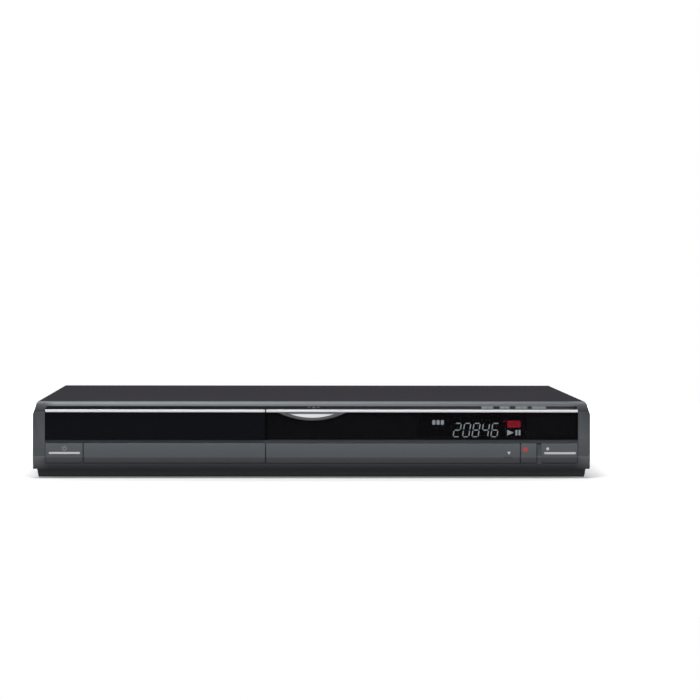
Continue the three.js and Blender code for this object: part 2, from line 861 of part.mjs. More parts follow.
function makeSVideoSocket() {
  const at = [sVideoX, socketPanel.lift];
  const rearFace = socketPanel.depth + socketPanel.thickness + gap.seat;
  const front = socketPanel.depth - sVideo.reach;
  const body = block(around(sVideoX, sVideo.width), [rearFace, rearFace + sVideo.depth], around(socketPanel.lift, sVideo.height));
  const nose = bar('y', at, frontSockets.videoRadius, [front, rearFace + sVideo.reach], sides.round);
  const bore = bar('y', at, sVideo.boreRadius, [front - overrun, rearFace + sVideo.depth / 2], sides.round);
  const post = bar('y', at, sVideo.postRadius, [front, rearFace + sVideo.depth - sVideo.reach], sides.small);
  return piece('front_s_video_socket', joined(cut(joined(body, nose), bore), post), 'blackPlastic');
}

// Top cover: one folded sheet, a top and two sides

function coverSection(half, top, bend) {
  const right = arc(half - bend, top - bend, bend, 0, Math.PI / 2, cover.bendSteps);
  const left = right.map(([x, z]) => [-x, z]).reverse();
  return [...right, ...left];
}

function makeTopCover() {
  const depth = [panel.depth + gap.seat, rearDepth + cover.rearLip];
  const outer = coverSection(coverHalf, overall.height, cover.bend);
  const inner = coverSection(coverHalf - cover.wall, overall.height - cover.wall, cover.bend - cover.wall);
  const sheetOutline = [
    [coverHalf, cover.bottom], ...outer, [-coverHalf, cover.bottom],
    [-coverHalf + cover.wall, cover.bottom], ...inner.reverse(), [coverHalf - cover.wall, cover.bottom],
  ];
  const vents = [];
  for (let i = 0; i < coverVent.count; i += 1) {
    const y = coverVent.start + i * coverVent.pitch;
    vents.push(block(
      [-coverHalf - overrun, coverHalf + overrun],
      [y, y + coverVent.width],
      [coverVent.bottom, coverVent.top],
    ));
  }
  return piece('top_cover', cut(outline(sheetOutline, depth), ...vents), 'coverPaint');
}

// Base chassis: floor and two side flanges

function footPlaces() {
  const x = halfWidth - foot.sideInset;
  const [front, back] = [foot.endInset, overall.depth - foot.endInset];
  return {
    foot_front_left: [-x, front],
    foot_front_right: [x, front],
    foot_rear_left: [-x, back],
    foot_rear_right: [x, back],
  };
}

function makeBaseChassis() {
  const depth = [panel.depth + gap.running, rearDepth + chassis.rearLip];
  const floor = block([-innerHalf, innerHalf], depth, [chassis.floor, floorTop]);
  const flangeDepth = [panelRear + gap.running, moduleRear];
  const flanges = [-1, 1].map((side) => {
    const x = [side * innerHalf, side * (innerHalf - chassis.wall)].sort((a, b) => a - b);
    return block(x, flangeDepth, [chassis.floor, floorTop + chassis.flange]);
  });
  const through = [chassis.floor - overrun, floorTop + overrun];
  const footHoles = Object.values(footPlaces()).map((at) => bar('z', at, foot.stemRadius + gap.seat, through, sides.small));
  const vents = [];
  for (let i = 0; i < floorVent.count; i += 1) {
    const x = mainPlace.left + floorVent.sideInset + i * floorVent.pitch;
    const y = mainPlace.front + floorVent.frontInset;
    vents.push(block([x, x + floorVent.width], [y, y + floorVent.length], through));
  }
  return piece('base_chassis', cut(joined(floor, ...flanges), ...footHoles, ...vents), 'steel');
}

function makeFeet() {
  const profile = [
    [0, 0], [foot.baseRadius, 0], [foot.radius, foot.chamfer], [foot.radius, foot.height],
    [foot.stemRadius, foot.height], [foot.stemRadius, foot.stemTop], [0, foot.stemTop],
  ];
  return Object.entries(footPlaces()).map(([name, at]) => {
    const made = piece(name, turned(profile, sides.round), 'rubber');
    made.position.set(at[0], at[1], 0);
    return made;
  });
}

// Rear panel

const through = [rearDepth - overrun, rearDepth + rear.wall + overrun];

function rearPhonoPlaces() {
  const places = [];
  for (let column = 0; column < rearPhono.columns; column += 1) {
    for (const z of [rearPhono.lower, rearPhono.upper]) places.push([phonoLeft + column * phono.pitch, z]);
  }
  return places;
}

function tunerPlaces() {
  return [tuner.lowerLift, tuner.upperLift].map((lift) => [tunerLeft + tuner.width / 2, board.lift + lift]);
}

// The sloping outline of a SCART socket, grown by a margin
function scartOutline(z, width, height, margin) {
  const centre = scartLeft + scart.block / 2;
  const [half, low, high] = [width / 2 + margin, z - height / 2 - margin, z + height / 2 + margin];
  return [
    [centre - half + scart.slant, low], [centre + half, low],
    [centre + half, high], [centre - half, high], [centre - half, low + scart.slant],
  ];
}

// Level slots inside the fan's circle
function grilleSlots() {
  const pitch = grille.width + grille.bar;
  const start = fan.height - pitch * (grille.slots - 1) / 2;
  const slots = [];
  for (let i = 0; i < grille.slots; i += 1) {
    const z = start + i * pitch;
    const edge = Math.abs(z - fan.height) + grille.width / 2;
    const half = Math.sqrt(fan.boreRadius * fan.boreRadius - edge * edge);
    slots.push(block(around(fanX, 2 * half), through, around(z, grille.width)));
  }
  return slots;
}

function digitalHeight() {
  return boardTop + digital.lift + digital.height / 2;
}

function makeRearPanel() {
  const plate = block(
    [-innerHalf + rear.inset, innerHalf - rear.inset],
    [rearDepth, rearDepth + rear.wall],
    [rear.bottom, underCover],
  );
  const cutters = [
    ...grilleSlots(),
    ...rearPhonoPlaces().map((at) => bar('y', at, phono.radius + gap.running, through, sides.small)),
    ...tunerPlaces().map((at) => bar('y', at, tuner.socketRadius + gap.running, through, sides.small)),
    ...[scart.lower, scart.upper].map((z) => outline(scartOutline(z, scart.width, scart.height, gap.seat), through)),
    block(around(digitalX, digital.width + 2 * gap.seat), through, around(digitalHeight(), digital.height + 2 * gap.seat)),
    block(around(mainsX, mains.width + 2 * gap.seat), through, around(mains.lift, mains.height + 2 * gap.seat)),
  ];
  return piece('rear_panel', cut(plate, ...cutters), 'steel');
}

// Rear sockets

function makeScartBlock() {
  const body = block(
    [scartLeft, scartLeft + scart.block],
    [scartFront, moduleRear],
    [boardTop + gap.seat, scart.top],
  );
  const shells = [scart.lower, scart.upper].map((z) => outline(
    scartOutline(z, scart.width, scart.height, 0),
    [rearDepth - overrun, rearDepth + scart.reach],
  ));
  const recesses = [scart.lower, scart.upper].map((z) => outline(
    scartOutline(z, scart.recessWidth, scart.recessHeight, 0),
    [rearDepth + scart.reach - scart.recessDepth, rearDepth + scart.reach + overrun],
  ));
  return piece('scart_block', cut(joined(body, ...shells), ...recesses), 'blackPlastic');
}

function makeRearPhonoBlock() {
  const places = rearPhonoPlaces();
  const body = block(
    [phonoLeft - rearPhono.margin, phonoRight + rearPhono.margin],
    [moduleRear - rearPhono.length, moduleRear],
    [boardTop + gap.seat, rearPhono.top],
  );
  const shells = places.map((at) => bar('y', at, phono.radius, [rearDepth - overrun, overall.depth], sides.small));
  const bores = places.map((at) => bar('y', at, phono.holeRadius, [rearDepth, overall.depth + overrun], sides.stud));
  return piece('rear_phono_block', cut(joined(body, ...shells), ...bores), 'blackPlastic');
}

function makeDigitalSocket() {
  const face = rearDepth + digital.reach;
  const shell = block(
    around(digitalX, digital.width),
    [face - digital.length, face],
    around(digitalHeight(), digital.height),
  );
  const slot = block(
    around(digitalX, digital.slotWidth),
    [face - digital.slotDepth, face + overrun],
    around(digitalHeight(), digital.slotHeight),
  );
  return piece('digital_video_socket', cut(shell, slot), 'steel');
}

function makeMainsInlet() {
  const face = rearDepth + mains.reach;
  const body = block(around(mainsX, mains.width), [face - mains.length, face], around(mains.lift, mains.height));
  const floor = face - mains.recessDepth;
  const radius = mains.recessHeight / 2;
  const reach = mains.recessWidth / 2 - radius;
  const stadium = [
    ...arc(mainsX + reach, mains.lift, radius, -Math.PI / 2, Math.PI / 2, sides.stud),
    ...arc(mainsX - reach, mains.lift, radius, Math.PI / 2, 3 * Math.PI / 2, sides.stud),
  ];
  const recess = outline(stadium, [floor, face + overrun]);
  const pins = [-1, 1].map((side) => bar(
    'y',
    [mainsX + side * mains.pinPitch / 2, mains.lift],
    mains.pinRadius,
    [floor - mains.pinRadius, face - mains.pinShort],
    sides.stud,
  ));
  return piece('mains_inlet', joined(cut(body, recess), ...pins), 'blackPlastic');
}

function makeTuner() {
  const body = block(
    [tunerLeft, tunerLeft + tuner.width],
    [moduleRear - tuner.length, moduleRear],
    [board.lift, board.lift + tuner.height],
  );
  const socketSpan = [rearDepth - overrun, overall.depth - gap.seat];
  const sockets = tunerPlaces().map((at) => bar('y', at, tuner.socketRadius, socketSpan, sides.small));
  const bores = tunerPlaces().map((at) => bar('y', at, tuner.boreRadius, [rearDepth, overall.depth + overrun], sides.stud));
  return piece('tuner_module', cut(joined(body, ...sockets), ...bores), 'steel');
}

// Fan: frame with a spider, and a bladed rotor

const fanFront = moduleRear - fan.depth;

function makeFanFrame() {
  const at = [fanX, fan.height];
  const shell = cut(
    block(around(fanX, fan.size), [fanFront, moduleRear], around(fan.height, fan.size)),
    bar('y', at, fan.boreRadius, [fanFront - overrun, moduleRear + overrun], sides.round),
  );
  const spider = [fanFront, fanFront + fan.spider];
  return piece('fan_frame', joined(
    shell,
    block(around(fanX, fan.size), spider, around(fan.height, fan.strut)),
    block(around(fanX, fan.strut), spider, around(fan.height, fan.size)),
    bar('y', at, fan.hubRadius, spider, sides.round),
  ), 'blackPlastic');
}

function makeFanRotor() {
  const start = fan.spider + gap.seat;
  const hub = bar('y', [0, 0], fan.hubRadius, [start, fan.depth - gap.running], sides.round);
  const centre = (start + fan.depth - gap.running) / 2;
  const blades = [];
  for (let i = 0; i < fan.blades; i += 1) {
    const geometry = new THREE.BoxGeometry(blade.width, blade.thickness, fan.bladeRadius - fan.hubRadius / 2);
    geometry.rotateZ(blade.tilt).translate(0, centre, (fan.bladeRadius + fan.hubRadius / 2) / 2);
    blades.push(solid(geometry.rotateY(2 * Math.PI * i / fan.blades)));
  }
  const swept = bar('y', [0, 0], fan.bladeRadius, [start, fan.depth - gap.running], sides.round);
  const made = piece('fan_rotor', joined(hub, ...blades).intersect(swept), 'blackPlastic');
  made.position.set(fanX, fanFront, fan.height);
  return made;
}

// Hard disk on its bracket

function makeHardDisk() {
  const bottom = bracket.top + gap.seat;
  const x = [diskLeft, diskLeft + disk.width];
  const y = [disk.front, disk.front + disk.length];
  const body = block(x, y, [bottom, bottom + disk.height - disk.edgeDrop]);
  const lid = block(
    [x[0] + disk.edge, x[1] - disk.edge],
    [y[0] + disk.edge, y[1] - disk.edge],
    [bottom, bottom + disk.height],
  );
  return piece('hard_disk', joined(body, lid), 'steel');
}

function makeDiskBracket() {
  const left = diskLeft - bracket.overhang;
  const right = diskLeft + disk.width + bracket.overhang;
  const low = floorTop + gap.seat;
  const channel = [
    [left - bracket.foot, low], [left + bracket.wall, low], [left + bracket.wall, bracket.top - bracket.wall],
    [right - bracket.wall, bracket.top - bracket.wall], [right - bracket.wall, low], [right + bracket.foot, low],
    [right + bracket.foot, low + bracket.wall], [right, low + bracket.wall], [right, bracket.top],
    [left, bracket.top], [left, low + bracket.wall], [left - bracket.foot, low + bracket.wall],
  ];
  const depth = [disk.front + bracket.inset, disk.front + disk.length - bracket.inset];
  return piece('disk_bracket', outline(channel, depth), 'steel');
}

// Boards

// A board on four supports, which snap into its corners and stand on the chassis
function raisedBoard({ left, right, front, back }) {
  const inset = 2 * board.supportRadius;
  const height = [floorTop + gap.seat, board.lift + board.thickness / 2];
  const supports = [];
  for (const x of [left + inset, right - inset]) {
    for (const y of [front + inset, back - inset]) {
      supports.push(bar('z', [x, y], board.supportRadius, height, sides.stud));
    }
  }
  return joined(block([left, right], [front, back], [board.lift, boardTop]), ...supports);
}

function makeMainBoard() {
  const x = mainPlace.left + chip.sideInset + chip.width / 2;
  const y = mainPlace.front + chip.frontInset + chip.width / 2;
  const chips = [block(around(x, chip.width), around(y, chip.width), [board.lift, boardTop + chip.height])];
  const lastPlace = scartFront - memory.width;
  for (let place = y; place <= lastPlace; place += memory.pitch) {
    chips.push(block(
      around(x + chip.width, memory.width),
      around(place, memory.width),
      [board.lift, boardTop + memory.height],
    ));
  }
  return piece('main_board', joined(raisedBoard(mainPlace), ...chips), 'boardGreen');
}

function makeHeatSink() {
  const bottom = boardTop + gap.seat;
  const left = mainPlace.left + sink.sideInset;
  const front = mainPlace.front + sink.frontInset;
  const depth = [front, front + sink.depth];
  const pitch = (sink.width - sink.finThickness) / (sink.fins - 1);
  const fins = [];
  for (let i = 0; i < sink.fins; i += 1) {
    const start = left + i * pitch;
    fins.push(block([start, start + sink.finThickness], depth, [bottom, bottom + sink.height]));
  }
  const foundation = block([left, left + sink.width], depth, [bottom, bottom + sink.base]);
  return piece('heat_sink', joined(foundation, ...fins), 'steel');
}

function makePowerBoard() {
  const { left, front, back } = powerPlace;
  const largeAt = [left + capacitor.sideInset + capacitor.radius, front + capacitor.frontInset + capacitor.radius];
  const coilX = [left + coil.sideInset, left + coil.sideInset + coil.width];
  const coilY = [back - coil.rearInset - coil.depth, back - coil.rearInset];
  const parts = [
    bar('z', largeAt, capacitor.radius, [board.lift, boardTop + capacitor.height], sides.round),
    block(coilX, coilY, [board.lift, boardTop + coil.height]),
  ];
  const small = smallCapacitor;
  for (let i = 0; i < small.count; i += 1) {
    const at = [left + small.sideInset + small.radius + i * small.pitch, back - small.rearInset - small.radius];
    parts.push(bar('z', at, small.radius, [board.lift, boardTop + small.height], sides.small));
  }
  return piece('power_board', joined(raisedBoard(powerPlace), ...parts), 'boardGreen');
}

function makeTransformer() {
  const bottom = boardTop + gap.seat;
  const { width, depth, height } = transformer;
  const x = powerPlace.right - transformer.rightInset - width / 2;
  const y = powerPlace.front + transformer.frontInset + depth / 2;
  const core = block(around(x, width), around(y, transformer.core), [bottom, bottom + height]);
  const winding = block(around(x, width - transformer.core), around(y, depth), around(bottom + height / 2, transformer.coreHeight));
  return piece('transformer', joined(core, winding), 'copper');
}

// Disc tray with its rack. From here on, x and y are measured from the disc's axis.

function rackOutline() {
  const pitch = Math.PI * gear.module;
  const half = pitch / 4 - gear.slack;
  const tip = half - gear.addendum * Math.tan(pressureAngle);
  const root = half + gear.dedendum * Math.tan(pressureAngle);
  const back = pitchLine - rack.back;
  const points = [[back, rack.start]];
  const first = Math.ceil((rack.start - gear.y) / pitch);
  const last = Math.floor((rack.end - gear.y) / pitch) - 1;
  points.push([pitchLine - gear.dedendum, rack.start]);
  for (let i = first; i <= last; i += 1) {
    const y = gear.y + (i + 0.5) * pitch;
    points.push(
      [pitchLine - gear.dedendum, y - root], [pitchLine + gear.addendum, y - tip],
      [pitchLine + gear.addendum, y + tip], [pitchLine - gear.dedendum, y + root],
    );
  }
  points.push([pitchLine - gear.dedendum, rack.end], [back, rack.end]);
  return points;
}

function makeDiscTray() {
  const slab = block([-trayHalf, trayHalf], [trayFrontFace, tray.rear], [tray.bottom, tray.top]);
  const well = bar('z', [0, 0], tray.wellRadius, [tray.wellFloor, tray.top + overrun], sides.large);
  const smallDepth = [tray.wellFloor - tray.smallWellDepth, tray.top + overrun];
  const smallWell = bar('z', [0, 0], tray.smallWellRadius, smallDepth, sides.large);
  const under = block(
    [-trayHalf + tray.rail, trayHalf - tray.rail],
    [trayFrontFace + tray.frontBar, tray.rear + overrun],
    [tray.bottom - overrun, tray.wellFloor - tray.sheet],
  );
  const heights = [tray.bottom - overrun, tray.top + overrun];
  const hub = bar('z', [0, 0], tray.slot, heights, sides.round);
  const slot = block([-tray.slot, tray.slot], [0, tray.rear + overrun], heights);
  const teeth = plan(rackOutline(), [rack.bottom, tray.bottom + tray.sheet]);
  return piece('disc_tray', joined(cut(slab, well, smallWell, under, hub, slot), teeth), 'blackPlastic');
}

// Loading gear train

function involute(angle) {
  return Math.tan(angle) - angle;
}

// Half the angle that a tooth spans at a radius
function toothHalfAngle(radius) {
  const baseRadius = gearPitch * Math.cos(pressureAngle);
  const local = Math.acos(Math.min(1, baseRadius / radius));
  const atPitch = Math.PI / (2 * gear.teeth) - gear.slack / gearPitch;
  return atPitch + involute(pressureAngle) - involute(local);
}

function gearOutline() {
  const baseRadius = gearPitch * Math.cos(pressureAngle);
  const tip = gearPitch + gear.addendum;
  const radii = [gearPitch - gear.dedendum, baseRadius, gearPitch, (gearPitch + tip) / 2, tip];
  const points = [];
  for (let tooth = 0; tooth < gear.teeth; tooth += 1) {
    const centre = Math.PI + 2 * Math.PI * tooth / gear.teeth;
    for (const radius of radii) {
      const angle = centre - toothHalfAngle(radius);
      points.push([radius * Math.cos(angle), radius * Math.sin(angle)]);
    }
    for (const radius of [...radii].reverse()) {
      const angle = centre + toothHalfAngle(radius);
      points.push([radius * Math.cos(angle), radius * Math.sin(angle)]);
    }
  }
  return points;
}

function makePulleyGear() {
  const wheel = turned([
    [0, pulley.bottom], [pulley.radius, pulley.bottom], [pulley.radius, pulley.grooveBottom],
    [pulley.grooveRadius, pulley.grooveBottom], [pulley.grooveRadius, pulley.grooveTop], [pulley.radius, pulley.grooveTop],
    [pulley.radius, pulley.top], [pulley.hubRadius, pulley.top], [pulley.hubRadius, gear.top], [0, gear.top],
  ], sides.round);
  const teeth = plan(gearOutline(), [gear.bottom, gear.top]);
  const bore = bar('z', [0, 0], pulley.boreRadius, [pulley.bottom - overrun, gear.top + overrun], sides.small);
  const made = piece('pulley_gear', cut(joined(wheel, teeth), bore), 'whitePlastic');
  made.position.set(gearX, gear.y, 0);
  return made;
}

function makeMotorPulley() {
  const inner = motor.shaftRadius + gap.seat;
  const made = piece('motor_pulley', turned([
    [inner, pulley.bottom], [motor.pulleyRadius, pulley.bottom], [motor.pulleyRadius, pulley.grooveBottom],
    [motor.grooveRadius, pulley.grooveBottom], [motor.grooveRadius, pulley.grooveTop], [motor.pulleyRadius, pulley.grooveTop],
    [motor.pulleyRadius, pulley.top], [inner, pulley.top], [inner, pulley.bottom],
  ], sides.small), 'whitePlastic');
  made.position.set(motorX, motor.y, 0);
  return made;
}

// A loop that wraps two round grooves and runs straight between them
function beltLoop(margin) {
  const [dx, dy] = [motorX - gearX, motor.y - gear.y];
  const heading = Math.atan2(dy, dx);
  const [large, small] = [pulley.grooveRadius + margin, motor.grooveRadius + margin];
  const wrap = Math.acos((large - small) / Math.hypot(dx, dy));
  return [
    ...arc(gearX, gear.y, large, heading + wrap, heading + 2 * Math.PI - wrap, 2 * belt.steps),
    ...arc(motorX, motor.y, small, heading - wrap, heading + wrap, belt.steps),
  ];
}

function makeDriveBelt() {
  const loop = cut(
    plan(beltLoop(belt.gap + belt.thickness), [belt.bottom, belt.top]),
    plan(beltLoop(belt.gap), [belt.bottom - overrun, belt.top + overrun]),
  );
  return piece('drive_belt', loop, 'rubber');
}

function makeLoadingMotor() {
  const deckBottom = base.deckTop - base.deckThickness;
  const top = deckBottom - gap.seat;
  const made = piece('loading_motor', turned([
    [0, motor.bottom], [motor.radius, motor.bottom], [motor.radius, top], [motor.neckRadius, top],
    [motor.neckRadius, base.deckTop], [motor.shaftRadius, base.deckTop], [motor.shaftRadius, motor.shaftTop], [0, motor.shaftTop],
  ], sides.round), 'steel');
  made.position.set(motorX, motor.y, 0);
  return made;
}

// Drive base: a box frame with a deck, tray rails, guides and pivot ears

function makeDriveBase() {
  const inner = baseHalf - base.wall;
  const bottom = floorTop + gap.seat + base.legDrop;
  const ring = cut(
    block([-baseHalf, baseHalf], [base.front, base.rear], [bottom, base.top]),
    block([-inner, inner], [base.front + base.wall, base.rear - base.wall], [bottom - overrun, base.top + overrun]),
    block([-inner, inner], [base.front - overrun, base.front + base.wall + overrun], [base.frontTop, base.top + overrun]),
  );
  const deckHeights = [base.deckTop - base.deckThickness, base.deckTop];
  const deck = cut(
    block([-inner - base.wall / 2, base.deckWidth - inner], [base.front + base.wall / 2, base.deckRear], deckHeights),
    bar('z', [motorX, motor.y], motor.neckRadius + gap.seat, [floorTop, base.top], sides.small),
  );
  const post = bar('z', [gearX, gear.y], base.post, [deckHeights[0], base.postTop], sides.small);
  const railTop = tray.bottom - gap.seat;
  const railHeights = [railTop - base.railDrop, railTop];
  const parts = [deck, post];
  for (const side of [-1, 1]) {
    const across = (a, b) => [side * a, side * b].sort((p, q) => p - q);
    parts.push(
      block(across(trayHalf - base.rail, inner + base.wall / 2), [base.front, base.rear - base.wall / 2], railHeights),
      block(
        across(trayHalf - base.guide, inner + base.wall / 2),
        [base.guideStart, base.guideStart + base.guideLength],
        [tray.top + gap.running, tray.top + gap.running + base.guideHeight],
      ),
      cut(
        block(
          across(traverse.halfWidth + gap.running, traverse.halfWidth + gap.running + base.ear),
          [base.earFront, base.rear - base.wall / 2],
          [bottom, base.earTop],
        ),
        bar('x', [traverse.pivot, traverse.pivotHeight], traverse.pin + gap.seat, [-baseHalf, baseHalf], sides.small),
      ),
    );
    for (const y of [base.front, base.rear - base.legLength]) {
      parts.push(block(across(inner, baseHalf), [y, y + base.legLength], [floorTop + gap.seat, bottom + base.wall]));
    }
  }
  return piece('drive_base', joined(ring, ...parts), 'blackPlastic');
}

// Traverse: the tilting frame with the spindle motor, rods, screw and pickup

function makeTraverseFrame() {
  const t = traverse;
  const inner = t.halfWidth - t.wall;
  const ring = cut(
    block([-t.halfWidth, t.halfWidth], [t.front, t.rear], [t.bottom, t.top]),
    block([-inner, inner], [t.front + t.wall, t.rear - t.wall], [t.bottom - overrun, t.top + overrun]),
  );
  const seat = cut(
    block([-inner - t.wall / 2, inner + t.wall / 2], [t.front + t.wall / 2, t.seatRear], [t.bottom, t.bottom + t.seat]),
    bar('z', [0, 0], t.seatHole, [t.bottom - overrun, t.top], sides.round),
  );
  const bearing = block(around(screw.x, t.bearing), [t.bearingFront, t.bearingRear], [t.bottom, t.top]);
  const reach = t.halfWidth + t.pinReach;
  const pins = [[-reach, -inner], [inner, reach]].map((x) => bar('x', [t.pivot, t.pivotHeight], t.pin, x, sides.small));
  const clearRear = block([-inner, inner], [t.rear - t.wall - overrun, t.rear - t.wall], [t.bottom + t.seat, t.top + overrun]);
  return piece('traverse_frame', cut(joined(ring, seat, bearing, ...pins), clearRear), 'greyPlastic');
}

function rodSpan() {
  return [traverse.front + traverse.wall + gap.seat, traverse.rear - traverse.wall - gap.seat];
}

function makeRod(name, x) {
  return piece(name, bar('y', [x, rod.height], rod.radius, rodSpan(), sides.small), 'steel');
}

function makeSledMotor() {
  const rearEnd = rodSpan()[1];
  return piece(
    'sled_motor',
    bar('y', [screw.x, rod.height], sledMotor.radius, [rearEnd - sledMotor.length, rearEnd], sides.round),
    'steel',
  );
}

function makeLeadScrew() {
  const span = [traverse.bearingRear + gap.seat, rodSpan()[1] - sledMotor.length - gap.seat];
  return piece('lead_screw', bar('y', [screw.x, rod.height], screw.radius, span, sides.stud), 'steel');
}

function makeSpindleMotor() {
  const bottom = traverse.bottom + traverse.seat + gap.seat;
  return piece('spindle_motor', turned([
    [0, bottom], [spindle.radius, bottom], [spindle.radius, spindle.top], [spindle.collar, spindle.top],
    [spindle.collar, spindle.collarTop], [spindle.shaft, spindle.collarTop],
    [spindle.shaft, spindle.shaftTop], [0, spindle.shaftTop],
  ], sides.round), 'steel');
}

function makeTurntable() {
  const bore = spindle.shaft + gap.running;
  return piece('turntable', turned([
    [0, turntable.boreTop], [bore, turntable.boreTop], [bore, turntable.bottom],
    [turntable.radius, turntable.bottom], [turntable.radius, turntable.seat], [turntable.hub, turntable.seat],
    [turntable.hub, turntable.hubTop - turntable.taperDrop], [turntable.hub - turntable.taper, turntable.hubTop],
    [0, turntable.hubTop],
  ], sides.round), 'blackPlastic');
}

function makePickupSled() {
  const s = sled;
  const body = plan([
    [-s.halfWidth, s.waistFront], [-s.waist, s.front], [s.waist, s.front], [s.halfWidth, s.waistFront],
    [screw.x + screw.radius + rod.radius, s.waistFront], [screw.x + screw.radius + rod.radius, s.armRear],
    [s.halfWidth, s.armRear], [s.halfWidth, s.rear], [-s.halfWidth, s.rear],
  ], [s.bottom, s.top]);
  const turret = block([-s.turret, s.turret], [s.turretFront, s.turretRear], [s.top - s.lensRadius, s.turretTop]);
  const lens = bar('z', [0, s.lens], s.lensRadius, [s.top, s.lensTop], sides.small);
  const runs = [s.front - overrun, s.rear + overrun];
  const bores = [-rod.spread, rod.spread].map((x) => bar('y', [x, rod.height], rod.radius + gap.running, runs, sides.small));
  const nut = bar('y', [screw.x, rod.height], screw.radius + gap.seat, runs, sides.stud);
  return piece('pickup_sled', cut(joined(body, turret, lens), ...bores, nut), 'blackPlastic');
}

// Clamp bridge and the puck that spins in it

const bridgeBottom = base.top + gap.seat;
const bridgeTop = bridgeBottom + bridge.thickness;

function makeClampBridge() {
  const plate = block([-baseHalf, baseHalf], [-bridge.halfDepth, bridge.halfDepth], [bridgeBottom, bridgeTop]);
  const ribs = [-1, 1].map((side) => block(
    [-baseHalf, baseHalf],
    [side * bridge.halfDepth, side * (bridge.halfDepth - bridge.ribWidth)].sort((a, b) => a - b),
    [bridgeBottom, bridgeTop + bridge.rib],
  ));
  const hole = bar('z', [0, 0], puck.radius + puck.clearance, [tray.top, overall.height], sides.round);
  return piece('clamp_bridge', cut(joined(plate, ...ribs), hole), 'steel');
}

function makeClampPuck() {
  const flangeBottom = bridgeTop + gap.seat;
  const { radius, flange, flangeHeight, bottom, chamfer } = puck;
  return piece('clamp_puck', turned([
    [0, bottom], [radius - chamfer, bottom], [radius, bottom + chamfer], [radius, flangeBottom],
    [flange, flangeBottom], [flange, flangeBottom + flangeHeight], [0, flangeBottom + flangeHeight],
  ], sides.round), 'whitePlastic');
}

// Assembly

function group(...children) {
  const made = new THREE.Group();
  made.add(...children);
  return made;
}

const drive = group(
  makeDriveBase(),
  makeDiscTray(),
  makePulleyGear(),
  makeMotorPulley(),
  makeDriveBelt(),
  makeLoadingMotor(),
  group(
    makeTraverseFrame(),
    makeSpindleMotor(),
    makeTurntable(),
    makeRod('guide_rod_left', -rod.spread),
    makeRod('guide_rod_right', rod.spread),
    makeLeadScrew(),
    makeSledMotor(),
    makePickupSled(),
  ),
  makeClampBridge(),
  makeClampPuck(),
);
drive.position.set(driveX, discDepth, 0);

const casing = group(makeBaseChassis(), makeTopCover(), makeRearPanel(), ...makeFeet());

const face = group(
  makeFrontFrame(),
  makeTrayFront(),
  makeTrim('tray_trim', trayFrontSpan),
  makeDisplayWindow(),
  makeTrim('window_trim', windowSpan),
  makeButtonSurround(),
  makeOpenCloseButton(),
  makeRowButton('power_button', powerSpan, strip.stemWidth),
  makeLowerStrip(),
  makeFlap(),
  makeRowButton('record_button', recordSpan, strip.recordStemWidth),
  makeRowButton('playback_button', playbackSpan, strip.stemWidth),
  ...makeKeys(),
  makeDisplayTube(),
  makeFrontBoard(),
  makeFrontSocketPanel(),
  makeFrontPhonoBlock(),
  makeSVideoSocket(),
  boxSocket('front_camera_socket', cameraX, socketPanel.lift, camera, 'steel'),
  boxSocket('card_slot', cardX, socketPanel.lift, card, 'steel'),
);

const inside = group(
  makeDiskBracket(),
  makeHardDisk(),
  makeMainBoard(),
  makeHeatSink(),
  makePowerBoard(),
  makeTransformer(),
);

const back = group(
  makeTuner(),
  makeScartBlock(),
  makeRearPhonoBlock(),
  makeDigitalSocket(),
  makeFanFrame(),
  makeFanRotor(),
  makeMainsInlet(),
);

const recorder = group(group(casing, face, drive, inside, back));
recorder.children[0].position.y = -overall.depth / 2;

export default recorder;
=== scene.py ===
# %% [markdown]
# # A slim disc recorder, finished in Blender
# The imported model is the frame: every solid of the recorder stands where it belongs.
# This lesson gives each solid its finish and adds the parts that a solid model leaves
# out, such as printed marks, contacts, screws and the digits of the display.
# All sizes in the helpers are millimetres. Depths are counted from the front plane
# backwards, heights from the table, and places across from the middle.

# %% Load the frame
import math

import bmesh
import bpy
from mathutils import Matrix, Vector


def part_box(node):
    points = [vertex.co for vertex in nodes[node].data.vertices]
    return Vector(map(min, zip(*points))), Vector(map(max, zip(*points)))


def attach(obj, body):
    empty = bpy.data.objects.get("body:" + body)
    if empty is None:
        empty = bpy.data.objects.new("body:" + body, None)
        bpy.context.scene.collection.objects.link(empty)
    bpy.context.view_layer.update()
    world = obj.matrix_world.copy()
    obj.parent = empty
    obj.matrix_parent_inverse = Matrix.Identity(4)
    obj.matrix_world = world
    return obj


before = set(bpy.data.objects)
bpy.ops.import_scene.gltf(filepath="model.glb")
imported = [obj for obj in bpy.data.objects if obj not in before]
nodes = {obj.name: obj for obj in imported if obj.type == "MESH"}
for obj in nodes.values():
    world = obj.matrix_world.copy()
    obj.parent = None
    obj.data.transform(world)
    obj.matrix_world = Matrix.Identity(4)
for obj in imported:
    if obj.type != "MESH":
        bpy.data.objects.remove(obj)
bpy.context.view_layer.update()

# %% Millimetres
MM = 0.001
TURN = 2 * math.pi
FRONT = 165

def box_mm(name):
    """The two corners of a solid, counted from the middle of the recorder."""
    low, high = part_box(name)
    return [v / MM for v in low], [v / MM for v in high]

print("front panel:", [round(v, 2) for v in box_mm("front_frame")[1]])

# %% [markdown]
# ## The camera
# The photograph was taken from far away with a long lens, from a little left of the
# middle and a little above the top. Its vanishing point gives the two small turns, and
# the widths of the front and of the rear edge give the distance. The long edges of the
# front run slightly downhill, which gives a roll of a tenth of a degree.

# %% Camera
FRONT_PLANE = -FRONT * MM
IMAGE_SIDE = 700
SENSOR = 36

FOCAL_PIXELS = 3098.7
TURN_RIGHT, TURN_DOWN, ROLL = 1.4, 1.579, -0.1

def added(name, data):
    """Puts a new object into the scene."""
    made = bpy.data.objects.new(name, data)
    bpy.context.scene.collection.objects.link(made)
    return made

